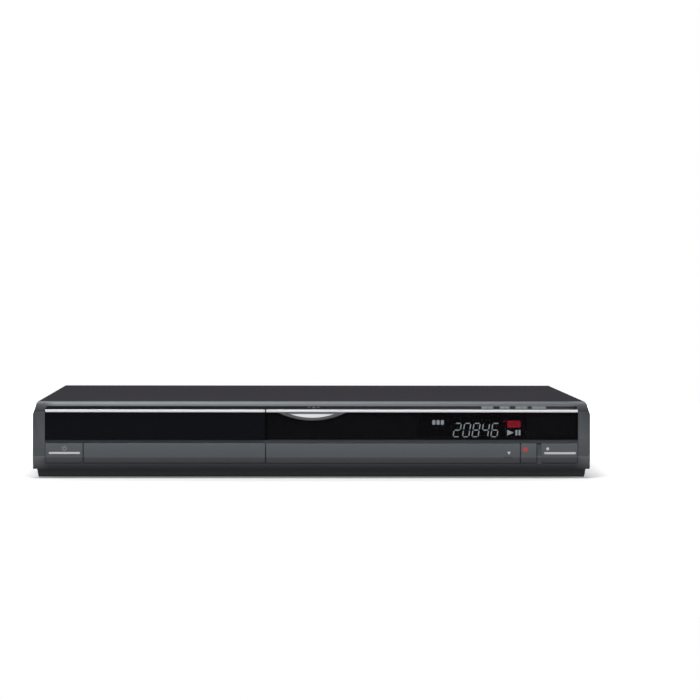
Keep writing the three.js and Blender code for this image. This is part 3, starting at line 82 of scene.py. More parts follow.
data = bpy.data.cameras.new("camera")
data.sensor_width = SENSOR
data.lens = SENSOR * FOCAL_PIXELS / IMAGE_SIDE
data.clip_end = 100
camera = added("camera", data)
camera.location = (-29.3 * MM, FRONT_PLANE - 2388 * MM, 165.3 * MM)
camera.rotation_euler = [math.radians(turn) for turn in (90 - TURN_DOWN, ROLL, -TURN_RIGHT)]
bpy.context.scene.camera = camera
bpy.context.scene.view_settings.view_transform = "Standard"
print("lens:", round(camera.data.lens, 1), "mm")

# %% [markdown]
# ## Shader sums
# A finish is a small graph of nodes. Wired with the mouse it is hard to read back, so
# one class wraps a socket and lets a sum be written as a sum. Another holds the material
# and makes every other node.

# %% Values
class Value:
    """A socket of a shader. Sums and products of values add Math nodes."""

    def __init__(self, finish, socket):
        self.finish = finish
        self.socket = socket

    def math(self, operation, *values):
        inputs = dict(enumerate(values))
        return self.finish.node("ShaderNodeMath", {"operation": operation}, inputs)

    def __add__(self, other):
        return self.math("ADD", self, other)

    def __sub__(self, other):
        return self.math("SUBTRACT", self, other)

    def __rsub__(self, other):
        return self.math("SUBTRACT", other, self)

    def __mul__(self, other):
        return self.math("MULTIPLY", self, other)

    def __gt__(self, other):
        return self.math("GREATER_THAN", self, other)

    def __lt__(self, other):
        return self.math("LESS_THAN", self, other)

    def __or__(self, other):
        return self.math("MAXIMUM", self, other)

    def __abs__(self):
        return self.math("ABSOLUTE", self)

    __radd__ = __add__
    __rmul__ = __mul__
    __ror__ = __or__

print("values can be added, multiplied and compared")

# %% Colours
def shade(red, green, blue):
    """A colour as a screen shows it, from 0 to 255, as the light that Blender reckons with."""
    def light(level):
        level = level / 255
        return level / 12.92 if level <= 0.04045 else ((level + 0.055) / 1.055) ** 2.4
    return (light(red), light(green), light(blue), 1)

def toned(colour, by):
    """The same colour, lighter or darker."""
    return tuple(c * by for c in colour[:3]) + (1,)

def grey(light):
    return (light, light, light, 1)

print("middle grey:", round(shade(128, 128, 128)[0], 3))

# %% Finishes
class Finish:
    """One material, with its nodes made from Python."""

    def __init__(self, name, tree=None):
        if tree is None:
            self.material = bpy.data.materials.new(name)
            self.material.use_nodes = True
            tree = self.material.node_tree
        self.tree = tree
        tree.nodes.clear()

    def node(self, kind, settings, inputs, output=0):
        made = self.tree.nodes.new(kind)
        for key, setting in settings.items():
            setattr(made, key, setting)
        for key, given in inputs.items():
            if isinstance(given, Value):
                self.tree.links.new(given.socket, made.inputs[key])
            else:
                made.inputs[key].default_value = given
        return Value(self, made.outputs[output]) if made.outputs else made

    def place(self, stretch=(1, 1, 1)):
        where = self.node("ShaderNodeTexCoord", {}, {}, "Object")
        return self.node("ShaderNodeMapping", {}, {"Vector": where, "Scale": stretch})

    def along(self, axis):
        """The place along one axis of the solid, in millimetres."""
        return self.node("ShaderNodeSeparateXYZ", {}, {"Vector": self.place()}, axis) * (1 / MM)

    def ramp(self, value, start, end):
        """Nought up to the start, one from the end on, and even in between."""
        inputs = {"Value": value, "From Min": start, "From Max": end}
        return self.node("ShaderNodeMapRange", {}, inputs)

    def between(self, value, low, high):
        return (value > low) * (value < high)

    def noise(self, per_metre, detail=2, stretch=(1, 1, 1)):
        inputs = {"Vector": self.place(stretch), "Scale": per_metre, "Detail": detail}
        return self.node("ShaderNodeTexNoise", {}, inputs)

    def cells(self, per_metre):
        inputs = {"Vector": self.place(), "Scale": per_metre}
        return self.node("ShaderNodeTexVoronoi", {}, inputs, "Color")

    def wave(self, per_metre, direction):
        settings = {"wave_type": "BANDS", "bands_direction": direction}
        inputs = {"Vector": self.place(), "Scale": per_metre}
        return self.node("ShaderNodeTexWave", settings, inputs)

    def blend(self, factor, first, second):
        """A mix of colours, whose sockets the node keeps at 6 and 7."""
        inputs = {0: factor, 6: first, 7: second}
        return self.node("ShaderNodeMix", {"data_type": "RGBA"}, inputs, 2)

    def bump(self, height, distance):
        return self.node("ShaderNodeBump", {}, {"Height": height, "Distance": distance})

    def patterned(self, pattern, dark, light, rough, swing, depth=0, **more):
        """Colour, polish and grain that all follow one pattern."""
        if depth:
            more["Normal"] = self.bump(pattern, depth * MM)
        colour = self.blend(pattern, dark, light)
        return self.surface(Base_Color=colour, Roughness=rough + pattern * swing, **more)

    def surface(self, **sockets):
        named = {key.replace("_", " "): given for key, given in sockets.items()}
        shader = self.node("ShaderNodeBsdfPrincipled", {}, named)
        self.node("ShaderNodeOutputMaterial", {}, {"Surface": shader})
        return self.material

print("finishes can be made")

# %% [markdown]
# ## Floor and light
# The recorder stands on a plain white floor. One large soft lamp hangs above the front
# and a weaker one above the back, and two weak ones stand at the sides. More light would
# whiten the floor too, but it would wash out the charcoal. So floor and world are white
# only for rays that look at them, through the camera, a mirror or a window. Light that
# bounces off them meets a darker tone, and the lower lip keeps its dark face, which its
# finish deepens with painted shade.

# %% Floor
def looking(finish):
    """One for rays that look at a thing, through the camera, a mirror or a window."""
    def ray(kind):
        return finish.node("ShaderNodeLightPath", {}, {}, "Is " + kind + " Ray")
    return ray("Camera") | ray("Glossy") | ray("Transmission")

def make_floor(half_side, seen_white, bounce_grey, glow_share):
    mesh = bpy.data.meshes.new("floor")
    signs = ((-1, -1), (1, -1), (1, 1), (-1, 1))
    corners = [(x * half_side, y * half_side, 0) for x, y in signs]
    mesh.from_pydata(corners, [], [(0, 1, 2, 3)])
    floor = added("floor", mesh)
    finish = Finish("floor_white")
    away = finish.node("ShaderNodeVectorMath", {"operation": "LENGTH"}, {0: finish.place()}, "Value")
    white = finish.blend(away * away, grey(seen_white), grey(seen_white + 1))
    colour = finish.blend(looking(finish), grey(bounce_grey), white)
    matt = finish.node("ShaderNodeBsdfDiffuse", {}, {"Color": colour})
    glow = finish.node("ShaderNodeEmission", {}, {"Color": grey(1)})
    mixture = {0: looking(finish) * glow_share, 1: matt, 2: glow}
    shader = finish.node("ShaderNodeMixShader", {}, mixture)
    finish.node("ShaderNodeOutputMaterial", {}, {"Surface": shader})
    mesh.materials.append(finish.material)

make_floor(half_side=1.1, seen_white=0.46, bounce_grey=0.15, glow_share=0.22)
print("floor made")

# %% World and lamps
def make_world(strength):
    world = bpy.data.worlds.new("studio")
    world.use_nodes = True
    bpy.context.scene.world = world
    sky = Finish("studio", world.node_tree)
    level = strength + looking(sky) * (1 - strength)
    shader = sky.node("ShaderNodeBackground", {}, {"Color": grey(1), "Strength": level})
    sky.node("ShaderNodeOutputWorld", {}, {"Surface": shader})

def lamp(name, place, aim, side, watts):
    data = bpy.data.lights.new(name, "AREA")
    data.size = side
    data.energy = watts
    made = added(name, data)
    made.location = place
    made.rotation_euler = (Vector(aim) - Vector(place)).to_track_quat("-Z", "Y").to_euler()

make_world(strength=0.12)
lamp("lamp_key", (-0.15, -1.1, 1.9), (0, -0.1, 0), side=1.2, watts=84)
lamp("lamp_back", (-0.1, 1.1, 1.7), (0, 0, 0), side=1.2, watts=36)
for way in (-1, 1):
    lamp("lamp_side", (way * 1.7, 0.4, 0.6), (0, 0, 0), side=1.0, watts=14)
print("lights:", len(bpy.data.lights))

# %% [markdown]
# ## Clean edges on the solids
# A solid from the model is a set of loose triangles with hard edges. Real edges are
# never sharp, and their small rounding catches the light. Modifiers do this without
# touching the mesh: they join the triangles, flatten the faces and round the edges.

# %% Edge modifiers
def plain_normals_group():
    group = bpy.data.node_groups.new("plain_normals", "GeometryNodeTree")
    for way in ("INPUT", "OUTPUT"):
        group.interface.new_socket("Geometry", in_out=way, socket_type="NodeSocketGeometry")
    start = group.nodes.new("NodeGroupInput")
    plain = group.nodes.new("GeometryNodeSetMeshNormal")
    plain.mode = "SHARPNESS"
    plain.inputs["Remove Custom"].default_value = True
    end = group.nodes.new("NodeGroupOutput")
    group.links.new(start.outputs[0], plain.inputs["Mesh"])
    group.links.new(plain.outputs[0], end.inputs[0])
    return group

PLAIN_NORMALS = plain_normals_group()
SAME_POINT = 0.001
FLAT_WITHIN = 0.3
SHARP_FROM = 30

def rounded(item, width):
    """Rounds the sharp edges of a solid or a piece."""
    bevel = item.modifiers.new("edges", "BEVEL")
    bevel.width = width * MM
    bevel.segments = 2
    bevel.limit_method = "ANGLE"
    bevel.angle_limit = math.radians(SHARP_FROM)
    bevel.harden_normals = True

print("edges are rounded from", SHARP_FROM, "degrees")

# %% Dressing
def dress(names, material, width):
    for name in names.split():
        item = nodes[name]
        item.modifiers.new("weld", "WELD").merge_threshold = SAME_POINT * MM
        item.modifiers.new("normals", "NODES").node_group = PLAIN_NORMALS
        flat = item.modifiers.new("flat", "DECIMATE")
        flat.decimate_type = "DISSOLVE"
        flat.angle_limit = math.radians(FLAT_WITHIN)
        rounded(item, width)
        item.material_slots[0].material = material
    print("dressed", names)

print("solids to dress:", len(nodes))

# %% [markdown]
# ## The moulded plastics
# Moulded plastic is never quite even: it has a fine grain from the mould, and its tone
# drifts a little over a large face. Noise at two scales gives both, and a shallow bump
# gives the grain that softens reflections. One function makes them all, because they
# differ only in colour, polish and grain.

# %% Moulded plastics
FLAKE = 1600
GRAIN_DEPTH = 0.006

def mottled(finish, fine):
    """Mostly fine grain, with a slow drift over the whole face."""
    return fine * 0.6 + finish.noise(14, 1) * 0.4

def moulded(name, colour, roughness, grain=FLAKE, depth=GRAIN_DEPTH, tone=0.12, **more):
    finish = Finish(name)
    fine = finish.noise(grain, 3)
    darker, lighter = toned(colour, 1 - tone), toned(colour, 1 + tone)
    return finish.surface(
        Base_Color=finish.blend(mottled(finish, fine), darker, lighter),
        Roughness=roughness - 0.05 + fine * 0.1,
        Normal=finish.bump(fine, depth * MM),
        **more,
    )

BLACK = shade(30, 30, 32)
grey_plastic = moulded("grey_plastic", shade(112, 116, 120), 0.4)
surround_grey = moulded("surround_grey", shade(84, 86, 88), 0.5, Specular_IOR_Level=0.1)
black_plastic = moulded("black_plastic", BLACK, 0.5)
tray_plastic = moulded("tray_plastic", shade(38, 38, 41), 0.55, grain=900, depth=0.015)
white_plastic = moulded("white_plastic", shade(214, 213, 206), 0.45, tone=0.04)
foot_rubber = moulded("foot_rubber", shade(32, 32, 33), 0.85, grain=700, depth=0.02)
print("plastics made")

# %% [markdown]
# ## The charcoal front and its painted light
# The front frame, the buttons and the flap are moulded plastic with a satin paint that
# holds fine metal flake. In the studio each bevel, groove and ledge of such a front takes
# a tone of its own from the soft boxes all round. Lamps could copy that for one view only.
# So the finish paints that light and shade from the place on the piece: painted highlights
# and painted shade, which stay on the piece when it is turned or when the flap drops.

# %% Painted shade and light of the lower lip
CREASE = (16.4, 17.6)
LIP_TURN = (11, 8)
LIP_FOOT = (6, 3)
WING_TURN = (15, 7)
WING_FOOT = (6.8, 9.5)
WING_MELTS = (203, 211)

def lip_painted_shade(finish, level):
    """Painted shade where the face turns downwards below the crease, and painted light at its foot, as
    if from the floor.
    """
    lip = finish.blend(finish.ramp(level, *LIP_TURN), shade(74, 76, 80), shade(61, 63, 66))
    return finish.blend(finish.ramp(level, *LIP_FOOT), lip, shade(84, 88, 91))

def wing_foot_painted_light(finish, level, out, lip):
    """Painted light on the lower end of a wing, which is lighter than the lip between the wings."""
    foot = finish.blend(finish.ramp(level, *WING_TURN), shade(97, 99, 102), shade(92, 94, 96))
    share = finish.ramp(out, *WING_MELTS) * finish.ramp(level, *WING_FOOT)
    return finish.blend(share, lip, foot)

print("lip from", LIP_FOOT[1], "to", CREASE[0], "mm")

# %% Painted light and shade of the frame
LEDGE = (27.4, 29.9)
BAND = (29.8, 53.7)
GROOVE = (53.7, 55.9)
BEVEL = (56.4, 57.4)
BROW = (58.5, 59.2)
WING = 205.9
WING_SHADE = (32, 50)
WING_TOP = 52.6
SHOULDER = (58.5, 52)
SHOULDER_OUT = (198, 206)
BEVEL_FADES = (-150, 190)
BROW_FADES = (-60, 220)
GROOVE_FADES = (-100, 200)
SEAM = -35.8
SEAM_HALF = 2
FACE_BACK = 164.5

def upper_light_and_shade(finish, level, across, paint):
    """Painted highlight on the bevel and painted shade on the brow over the band, both lighter at the
    left.
    """
    bevel = finish.blend(finish.ramp(across, *BEVEL_FADES), shade(93, 97, 100), shade(66, 69, 72))
    paint = finish.blend(finish.ramp(level, *BEVEL), paint, bevel)
    brow = finish.blend(finish.ramp(across, *BROW_FADES), shade(50, 53, 56), shade(42, 44, 46))
    return finish.blend(finish.ramp(level, *BROW), paint, brow)

def frame_light_and_shade(finish, level, across, paint):
    """Painted light and shade on the front frame, from the ledge under the band to the top of the bevel.
    """
    out = abs(across)
    behind = finish.along("Y") > -FACE_BACK
    # Painted light on the ledge under the band.
    ledge = finish.between(level, *LEDGE) * behind
    paint = finish.blend(ledge, paint, shade(103, 107, 111))
    # Painted shade on each wing, deepening towards its top, where more light falls.
    wing = finish.ramp(level, *WING_SHADE) * (out > WING) * (level < WING_TOP)
    paint = finish.blend(wing * 0.7, paint, shade(58, 60, 62))
    paint = upper_light_and_shade(finish, level, across, paint)
    # Painted shadow in the groove over the band, darker at the left.
    shadow = finish.blend(finish.ramp(across, *GROOVE_FADES), shade(44, 45, 48), shade(84, 86, 90))
    groove = finish.between(level, *GROOVE) * behind * (out < WING)
    paint = finish.blend(groove, paint, shadow)
    # Painted shade on the frame behind the gap between tray front and window.
    seam_shade = (abs(across - SEAM) < SEAM_HALF) * finish.between(level, *BAND) * behind
    paint = finish.blend(seam_shade, paint, shade(16, 16, 18))
    # Painted shade on the shoulder of each wing, under the bevel.
    shoulder_shade = finish.blend(finish.ramp(level, *SHOULDER), shade(66, 68, 71), shade(50, 52, 54))
    here = finish.ramp(out, *SHOULDER_OUT) * (level > SHOULDER[1])
    paint = finish.blend(here, paint, shoulder_shade)
    # A painted highlight along the crease.
    return finish.blend(finish.between(level, *CREASE), paint, shade(98, 101, 104))

print("window band from", BAND[0], "to", BAND[1], "mm")

# %% Charcoal paint
# Charcoal paint with painted light and shade by height, and on the whole frame by place too.
def charcoal_plastic(name, dark, light, whole_frame=False):
    finish = Finish(name)
    flake = finish.noise(FLAKE, 3)
    paint = finish.blend(mottled(finish, flake), dark, light)
    level = finish.along("Z")
    # Every charcoal piece gets the lip's painted shade below the crease.
    lip = lip_painted_shade(finish, level)
    if whole_frame:
        across = finish.along("X")
        paint = frame_light_and_shade(finish, level, across, paint)
        lip = wing_foot_painted_light(finish, level, abs(across), lip)
    return finish.surface(
        Base_Color=finish.blend(level < CREASE[0], paint, lip),
        Roughness=0.42 + flake * 0.1,
        Specular_IOR_Level=0.03,
        Normal=finish.bump(flake, GRAIN_DEPTH * MM),
    )

charcoal = charcoal_plastic("charcoal_plastic", shade(82, 86, 90), shade(92, 96, 100))
frame_charcoal_painted_light = charcoal_plastic("frame_charcoal_painted_light", shade(76, 79, 82), shade(86, 89, 92), True)
print("charcoal made")

# %% [markdown]
# ## The black window band
# The tray front is polished black plastic. The display window beside it is smoked, so
# that the digits of the tube behind it can be read. Each of its two faces stops more than
# half of the light, which hides what is unlit behind it. Alpha does that without the grain
# that bent light would bring.

# %% Gloss black and smoked window
def polished(name, colour, level, cover=1):
    """A cover below one lets the rest of the light through."""
    finish = Finish(name)
    wiping = finish.noise(60, 4, (1, 1, 3))
    more = {"Specular IOR Level": level}
    if cover < 1:
        more["Alpha"] = cover + wiping * 0.02
    return finish.patterned(wiping, colour, toned(colour, 1.3), 0.05, 0.05, **more)

black_gloss = polished("black_gloss", shade(10, 11, 15), 0.015)
smoked_window = polished("smoked_window", shade(11, 10, 12), 0.01, cover=0.64)
print("window band made")

# %% [markdown]
# ## Bright and bare metal
# The trim line and the crescent button are bright plated plastic. The crescent's upper
# edge lies in the groove and stays grey. Sheet steel shows the flowers of its zinc, and
# turned steel shows fine rings or streaks. Noise stretched along one axis draws streaks,
# and cells draw the zinc. An anisotropic shader would draw streaks too, but only in a
# reflection, and here they show in the colour from every side.

# %% Metals
PLATING = 0.6
CRESCENT_EDGE = 0.8

def streaked(name, colour, roughness, stretch):
    finish = Finish(name)
    streaks = finish.noise(900, 2, stretch)
    darker = toned(colour, 0.9)
    return finish.patterned(streaks, darker, colour, roughness - 0.05, 0.1, 0.002, Metallic=1.0)

def zinc(name, colour, roughness):
    finish = Finish(name)
    fine = finish.noise(500, 3)
    flower = finish.node("ShaderNodeSeparateColor", {}, {"Color": finish.cells(260)})
    return finish.surface(
        Base_Color=finish.blend(flower * 0.7 + fine * 0.3, toned(colour, 0.86), colour),
        Metallic=1.0,
        Roughness=roughness + flower * 0.06,
        Normal=finish.bump(fine, 0.004 * MM),
    )

def plated(name, colour, bright_below=None):
    """Bright plating. Above a given height the plastic under it stays grey."""
    finish = Finish(name)
    cloud = finish.noise(200, 2, (0.05, 1, 1))
    paint = finish.blend(cloud, toned(colour, 0.94), colour)
    metallic = PLATING
    if bright_below:
        bright = finish.along("Z") < bright_below
        paint = finish.blend(bright, shade(84, 86, 88), paint)
        metallic = bright * PLATING
    return finish.surface(Base_Color=paint, Metallic=metallic, Roughness=0.42 + cloud * 0.04)

crescent_top = box_mm("open_close_button")[1][2]
bright_trim = plated("bright_trim", shade(189, 190, 194))
bright_crescent = plated("bright_crescent", shade(203, 204, 208), crescent_top - CRESCENT_EDGE)
ground_steel = streaked("ground_steel", shade(205, 206, 208), 0.2, (1, 0.03, 1))
socket_metal = streaked("socket_metal", shade(200, 200, 202), 0.25, (1, 1, 1))
plated_steel = zinc("plated_steel", shade(158, 159, 162), 0.42)
rear_steel = zinc("rear_steel", shade(160, 162, 164), 0.38)
print("metals made")

# %% [markdown]
# ## Cover, castings and tube
# The cover's paint is a fine texture of pits. A casting keeps the grain of the sand, the
# transformer's coil is wrapped in turns of yellow tape between the grey halves of its
# iron core, and the display tube has a fine grid behind its glass.

# %% Painted cover, castings, tape and glass
def textured_paint(name, colour):
    finish = Finish(name)
    pits = finish.noise(1100, 2)
    slow = finish.noise(10, 1)
    return finish.surface(
        Base_Color=finish.blend(pits * 0.5 + slow * 0.5, colour, toned(colour, 1.25)),
        Roughness=0.5 + pits * 0.12,
        Specular_IOR_Level=0.0,
        Normal=finish.bump(pits, 0.02 * MM),
    )

def casting(name, colour):
    finish = Finish(name)
    sand = finish.noise(500, 4)
    return finish.patterned(sand, toned(colour, 0.85), colour, 0.45, 0.15, 0.03, Metallic=0.9)

def wrapped_tape(name, colour, middle, half_width):
    """Tape round the coil, between the two grey halves of the iron core."""
    finish = Finish(name)
    turns = finish.wave(120, "Z")
    tape = finish.blend(turns, toned(colour, 0.8), colour)
    core = abs(finish.along("X") - middle) > half_width
    return finish.surface(
        Base_Color=finish.blend(core, tape, shade(58, 57, 58)),
        Roughness=0.35 + turns * 0.1,
        Normal=finish.bump(turns, 0.05 * MM),
    )

def tube_glass(name, dark, light):
    finish = Finish(name)
    grid = finish.wave(500, "X")
    return finish.patterned(grid, dark, light, 0.3, 0.05, Specular_IOR_Level=0.1)

cover_paint = textured_paint("cover_paint", shade(35, 34, 37))
cast_aluminium = casting("cast_aluminium", shade(158, 160, 164))
winding_tape = wrapped_tape("winding_tape", shade(205, 178, 60), middle=168, half_width=9)
display_glass = tube_glass("display_glass", shade(16, 20, 22), shade(24, 30, 32))
print("other finishes made")

# %% [markdown]
# ## Circuit boards
# A board shows its copper tracks as lighter lines under a green coat. The boards carry
# moulded parts in one solid with them, and white supports below. Their heights are known,
# so the finish changes its colour with the height, and no solid has to be cut up.

# %% Circuit boards
SUPPORT_TOP = 11.9
PARTS_FROM = 13.8
COIL_RIGHT = 144
COIL_FRONT = 111

def circuit_green(name, parts=None, coil=False):
    """A board's tracks. A lying board has parts of a given colour, and perhaps a coil."""
    finish = Finish(name)
    lines = finish.wave(260, "X") * finish.noise(70, 0) > 0.33
    paint = finish.blend(lines, shade(24, 74, 40), shade(52, 112, 62))
    level = finish.along("Z")
    if parts:
        paint = finish.blend(level < SUPPORT_TOP, paint, shade(208, 206, 198))
        paint = finish.blend(level > PARTS_FROM, paint, parts)
    if coil:
        wire = finish.blend(finish.wave(900, "Z"), shade(120, 62, 30), shade(190, 110, 60))
        here = (finish.along("X") < COIL_RIGHT) * (finish.along("Y") > COIL_FRONT) * (level > PARTS_FROM)
        paint = finish.blend(here, paint, wire)
    return finish.surface(
        Base_Color=paint,
        Roughness=0.4 + lines * 0.1,
        Coat_Weight=0.3,
        Normal=finish.bump(lines, 0.02 * MM),
    )

front_circuit = circuit_green("front_circuit")
main_circuit = circuit_green("main_circuit", BLACK)
power_circuit = circuit_green("power_circuit", shade(34, 38, 60), coil=True)
print("boards made")

# %% [markdown]
# ## Which solid has which finish
# The numbers are the widths of the rounded edges in millimetres: a moulded edge is
# rounder than the edge of a cut sheet.

# %% Dress the solids
dress("front_frame", frame_charcoal_painted_light, 0.25)
dress("power_button lower_strip front_flap record_button playback_button", charcoal, 0.3)
dress("tray_front", black_gloss, 0.35)
dress("display_window", smoked_window, 0.35)
dress("tray_trim window_trim", bright_trim, 0.3)
dress("open_close_button", bright_crescent, 0.4)
dress("button_surround", surround_grey, 0.2)
dress("channel_down_key channel_up_key stop_key play_key", grey_plastic, 0.2)
dress("top_cover", cover_paint, 0.2)
dress("base_chassis", plated_steel, 0.2)
dress("rear_panel", rear_steel, 0.2)
dress("foot_front_left foot_front_right foot_rear_left foot_rear_right", foot_rubber, 0.4)
dress("display_tube", display_glass, 0.3)
dress("front_board", front_circuit, 0.15)
dress("main_board", main_circuit, 0.15)
dress("power_board", power_circuit, 0.15)
dress("front_socket_panel front_s_video_socket", black_plastic, 0.2)
dress("front_camera_socket card_slot digital_video_socket", socket_metal, 0.15)
dress("drive_base turntable pickup_sled fan_frame fan_rotor", black_plastic, 0.2)
dress("scart_block mains_inlet", black_plastic, 0.25)
dress("disc_tray", tray_plastic, 0.3)
dress("pulley_gear motor_pulley clamp_puck", white_plastic, 0.15)
dress("drive_belt", foot_rubber, 0.3)
dress("traverse_frame", grey_plastic, 0.25)
dress("guide_rod_left guide_rod_right lead_screw", ground_steel, 0.2)
dress("loading_motor spindle_motor sled_motor clamp_bridge disk_bracket tuner_module", plated_steel, 0.2)
dress("hard_disk heat_sink", cast_aluminium, 0.3)
dress("transformer", winding_tape, 0.4)

# %% [markdown]
# ## Shapes from outlines
# Almost every small part is an outline pushed through a thickness, or a profile turned
# about an axis. Modifiers on ready-made cubes and cylinders could make them too, but an
# outline gives true corners and closed shapes at once. Each mesh then becomes a piece
# that rides on the right body.

# %% Outlines
def circle(u, v, radius, steps=32):
    angles = [TURN * i / steps for i in range(steps)]
    return [(u + radius * math.cos(a), v + radius * math.sin(a)) for a in angles]

def panel(u, v, width, height, corner, steps=4):
    """A rectangle with rounded corners."""
    points = []
    for turn, (su, sv) in enumerate(((1, 1), (-1, 1), (-1, -1), (1, -1))):
        for i in range(steps + 1):
            angle = math.pi / 2 * (turn + i / steps)
            across = u + su * (width / 2 - corner) + corner * math.cos(angle)
            up = v + sv * (height / 2 - corner) + corner * math.sin(angle)
            points.append((across, up))
    return points

print("corners of a panel:", len(panel(0, 0, 2, 2, 0.5)))

# %% Slabs
FACINGS = {
    "front": lambda u, v, level: Vector((u, level - FRONT, v)) * MM,
    "up": lambda u, v, level: Vector((u, v - FRONT, level)) * MM,
    "side": lambda u, v, level: Vector((level, u - FRONT, v)) * MM,
}

def hoop(shape, outline, level, facing):
    """The corners of an outline at one level."""
    return [shape.verts.new(FACINGS[facing](u, v, level)) for u, v in outline]

def wall(shape, lower, upper):
    """The faces from one hoop to the next."""
    for i in range(len(lower)):
        shape.faces.new((lower[i - 1], lower[i], upper[i], upper[i - 1]))

def slab(shape, outline, low, high, facing="front"):
    """Pushes an outline from one level to another."""
    lower = hoop(shape, outline, low, facing)
    upper = hoop(shape, outline, high, facing)
    shape.faces.new(lower)
    shape.faces.new(upper[::-1])
    wall(shape, lower, upper)

print("facings:", ", ".join(FACINGS))

# %% Turned shapes
def turned(shape, centre, profile, facing="front", steps=32):
    """Turns a profile of (radius, level) points about an axis through the centre."""
    rings = []
    for radius, level in profile:
        outline = circle(*centre, radius, steps) if radius else [centre]
        rings.append(hoop(shape, outline, level, facing))
    closed = len(rings[0]) > 1
    for ring, other in zip(rings, rings[1:] + rings[:1] if closed else rings[1:]):
        for i in range(steps):
            corners = [ring[i - 1], ring[i]] if len(ring) > 1 else [ring[0]]
            corners += [other[i], other[i - 1]] if len(other) > 1 else [other[0]]
            shape.faces.new(corners)

def washer(shape, centre, inner, outer, low, high, facing="front", steps=32):
    """A flat ring, or a disc where the inner radius is nought."""
    turned(shape, centre, [(inner, low), (outer, low), (outer, high), (inner, high)], facing, steps)

print("steps of a circle:", len(circle(0, 0, 1)))

# %% Pieces
def piece(name, material, build, body="recorder", round_by=0.0):
    """Makes one piece from a function that fills a mesh."""
    shape = bmesh.new()
    build(shape)
    bmesh.ops.recalc_face_normals(shape, faces=shape.faces)
    mesh = bpy.data.meshes.new(name)
    shape.to_mesh(mesh)
    shape.free()
    mesh.materials.append(material)
    made = added(name, mesh)
    if round_by:
        rounded(made, round_by)
    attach(made, body)

def plate(name, material, outline, levels, body="recorder", facing="front", round_by=0.0):
    """Makes one piece from an outline and its two levels."""
    piece(name, material, lambda shape: slab(shape, outline, *levels, facing), body, round_by)

print("meshes before the pieces:", len(bpy.data.meshes))

# %% [markdown]
# ## Inks and inlays
# Printed marks are a film of ink, a few hundredths of a millimetre thick. A picture on
# the face would blur close by. Each mark is a real closed shape set into the face, so
# that it is sharp at any distance and shows from every side.

# %% Inks
def ink(name, colour):
    finish = Finish(name)
    return finish.patterned(finish.noise(3000, 2), toned(colour, 0.9), colour, 0.5, 0.1)

pale_ink = ink("pale_ink", shade(186, 188, 192))
grey_ink = ink("grey_ink", shade(128, 131, 134))
red_ink = ink("red_ink", shade(160, 50, 48))
dark_ink = ink("dark_ink", shade(34, 36, 38))
key_ink = ink("key_ink", shade(86, 88, 92))
print("inks made")

# %% Front marks
FILM = (-0.03, 0.25)
POWER_MIDDLE = -190.7

def mark(name, body, colour, outline):
    plate(name, colour, outline, FILM, body, round_by=0.02)

mark("power_bar", "power_button", pale_ink, panel(POWER_MIDDLE, 19.9, 23.8, 1.5, 0.5))
mark("playback_bar", "playback_button", pale_ink, panel(191.8, 19.8, 24.4, 1.6, 0.5))
mark("playback_dot", "playback_button", pale_ink, circle(182.2, 23.2, 1.15))
mark("record_dot", "record_button", red_ink, circle(164.8, 22.6, 1.9))
mark("flap_mark", "flap", pale_ink, [(150.9, 20.9), (152.2, 18.4), (153.5, 20.9)])
# A dark film stands in for the shade in the flap's notch.
mark("flap_notch_shade", "flap", dark_ink, panel(151.5, 16.6, 6.0, 1.0, 0.3))

def power_symbol(shape):
    """A ring that is open at the top, and a stroke in the opening."""
    arc = [math.radians(125 + 290 * i / 24) for i in range(25)]
    def bow(radius, angles):
        return [(POWER_MIDDLE + radius * math.cos(a), 23.6 + radius * math.sin(a)) for a in angles]
    slab(shape, bow(1.8, arc) + bow(1.3, arc[::-1]), *FILM)
    slab(shape, panel(POWER_MIDDLE, 24.7, 0.5, 2.0, 0.2), *FILM)

piece("power_symbol", grey_ink, power_symbol, "power_button", 0.02)
print("front marks made")

# %% [markdown]
# ## The display
# A fluorescent tube lights thin segments behind glass. Each digit is made of seven
# slanted bars, and only the lit bars are built. Letters from a font would look drawn,
# because real segments stop short of each other and have pointed ends.

# %% Lit segments
def glow(name, colour, strength):
    finish = Finish(name)
    mesh_lines = finish.wave(1500, "X")
    return finish.surface(
        Base_Color=shade(20, 20, 20),
        Emission_Color=finish.blend(mesh_lines * 0.4, colour, toned(colour, 0.7)),
        Emission_Strength=strength,
    )

pale_glow = glow("pale_glow", (0.84, 0.92, 1.0, 1), 2.25)
red_glow = glow("red_glow", (1.0, 0.03, 0.07, 1), 1.5)
print("glows made")

# %% Display digits
TUBE_FACE = 3.5
LAYER = (TUBE_FACE - 0.1, TUBE_FACE + 0.2)
LEAN = 0.16
LIT = {0: "abcdef", 2: "abged", 4: "fgbc", 6: "afgedc", 8: "abcdefg"}
UPRIGHT = {"b": (1, 0.5), "c": (1, 0), "e": (0, 0), "f": (0, 0.5)}
LEVEL = {"a": 1, "d": 0, "g": 0.5}

def level_bar(v, width, bar):
    half, tip, near, far = bar / 2, bar * 0.6, bar, width - bar
    upper = [(width - tip, v), (far, v + half), (near, v + half)]
    return [(tip, v), (near, v - half), (far, v - half)] + upper

def upright_bar(u, low, high, bar):
    half, tip = bar / 2, bar * 0.6
    left = [(u, high - tip), (u - half, high - bar), (u - half, low + bar)]
    return [(u, low + tip), (u + half, low + bar), (u + half, high - bar)] + left

def digit(shape, number, left, low, width, height, bar):
    for name in LIT[number]:
        if name in LEVEL:
            outline = level_bar(low + LEVEL[name] * height, width, bar)
        else:
            across, up = UPRIGHT[name]
            foot = low + up * height
            outline = upright_bar(across * width, foot, foot + height / 2, bar)
        leaning = [(left + u + (v - low) * LEAN, v) for u, v in outline]
        slab(shape, leaning, *LAYER)

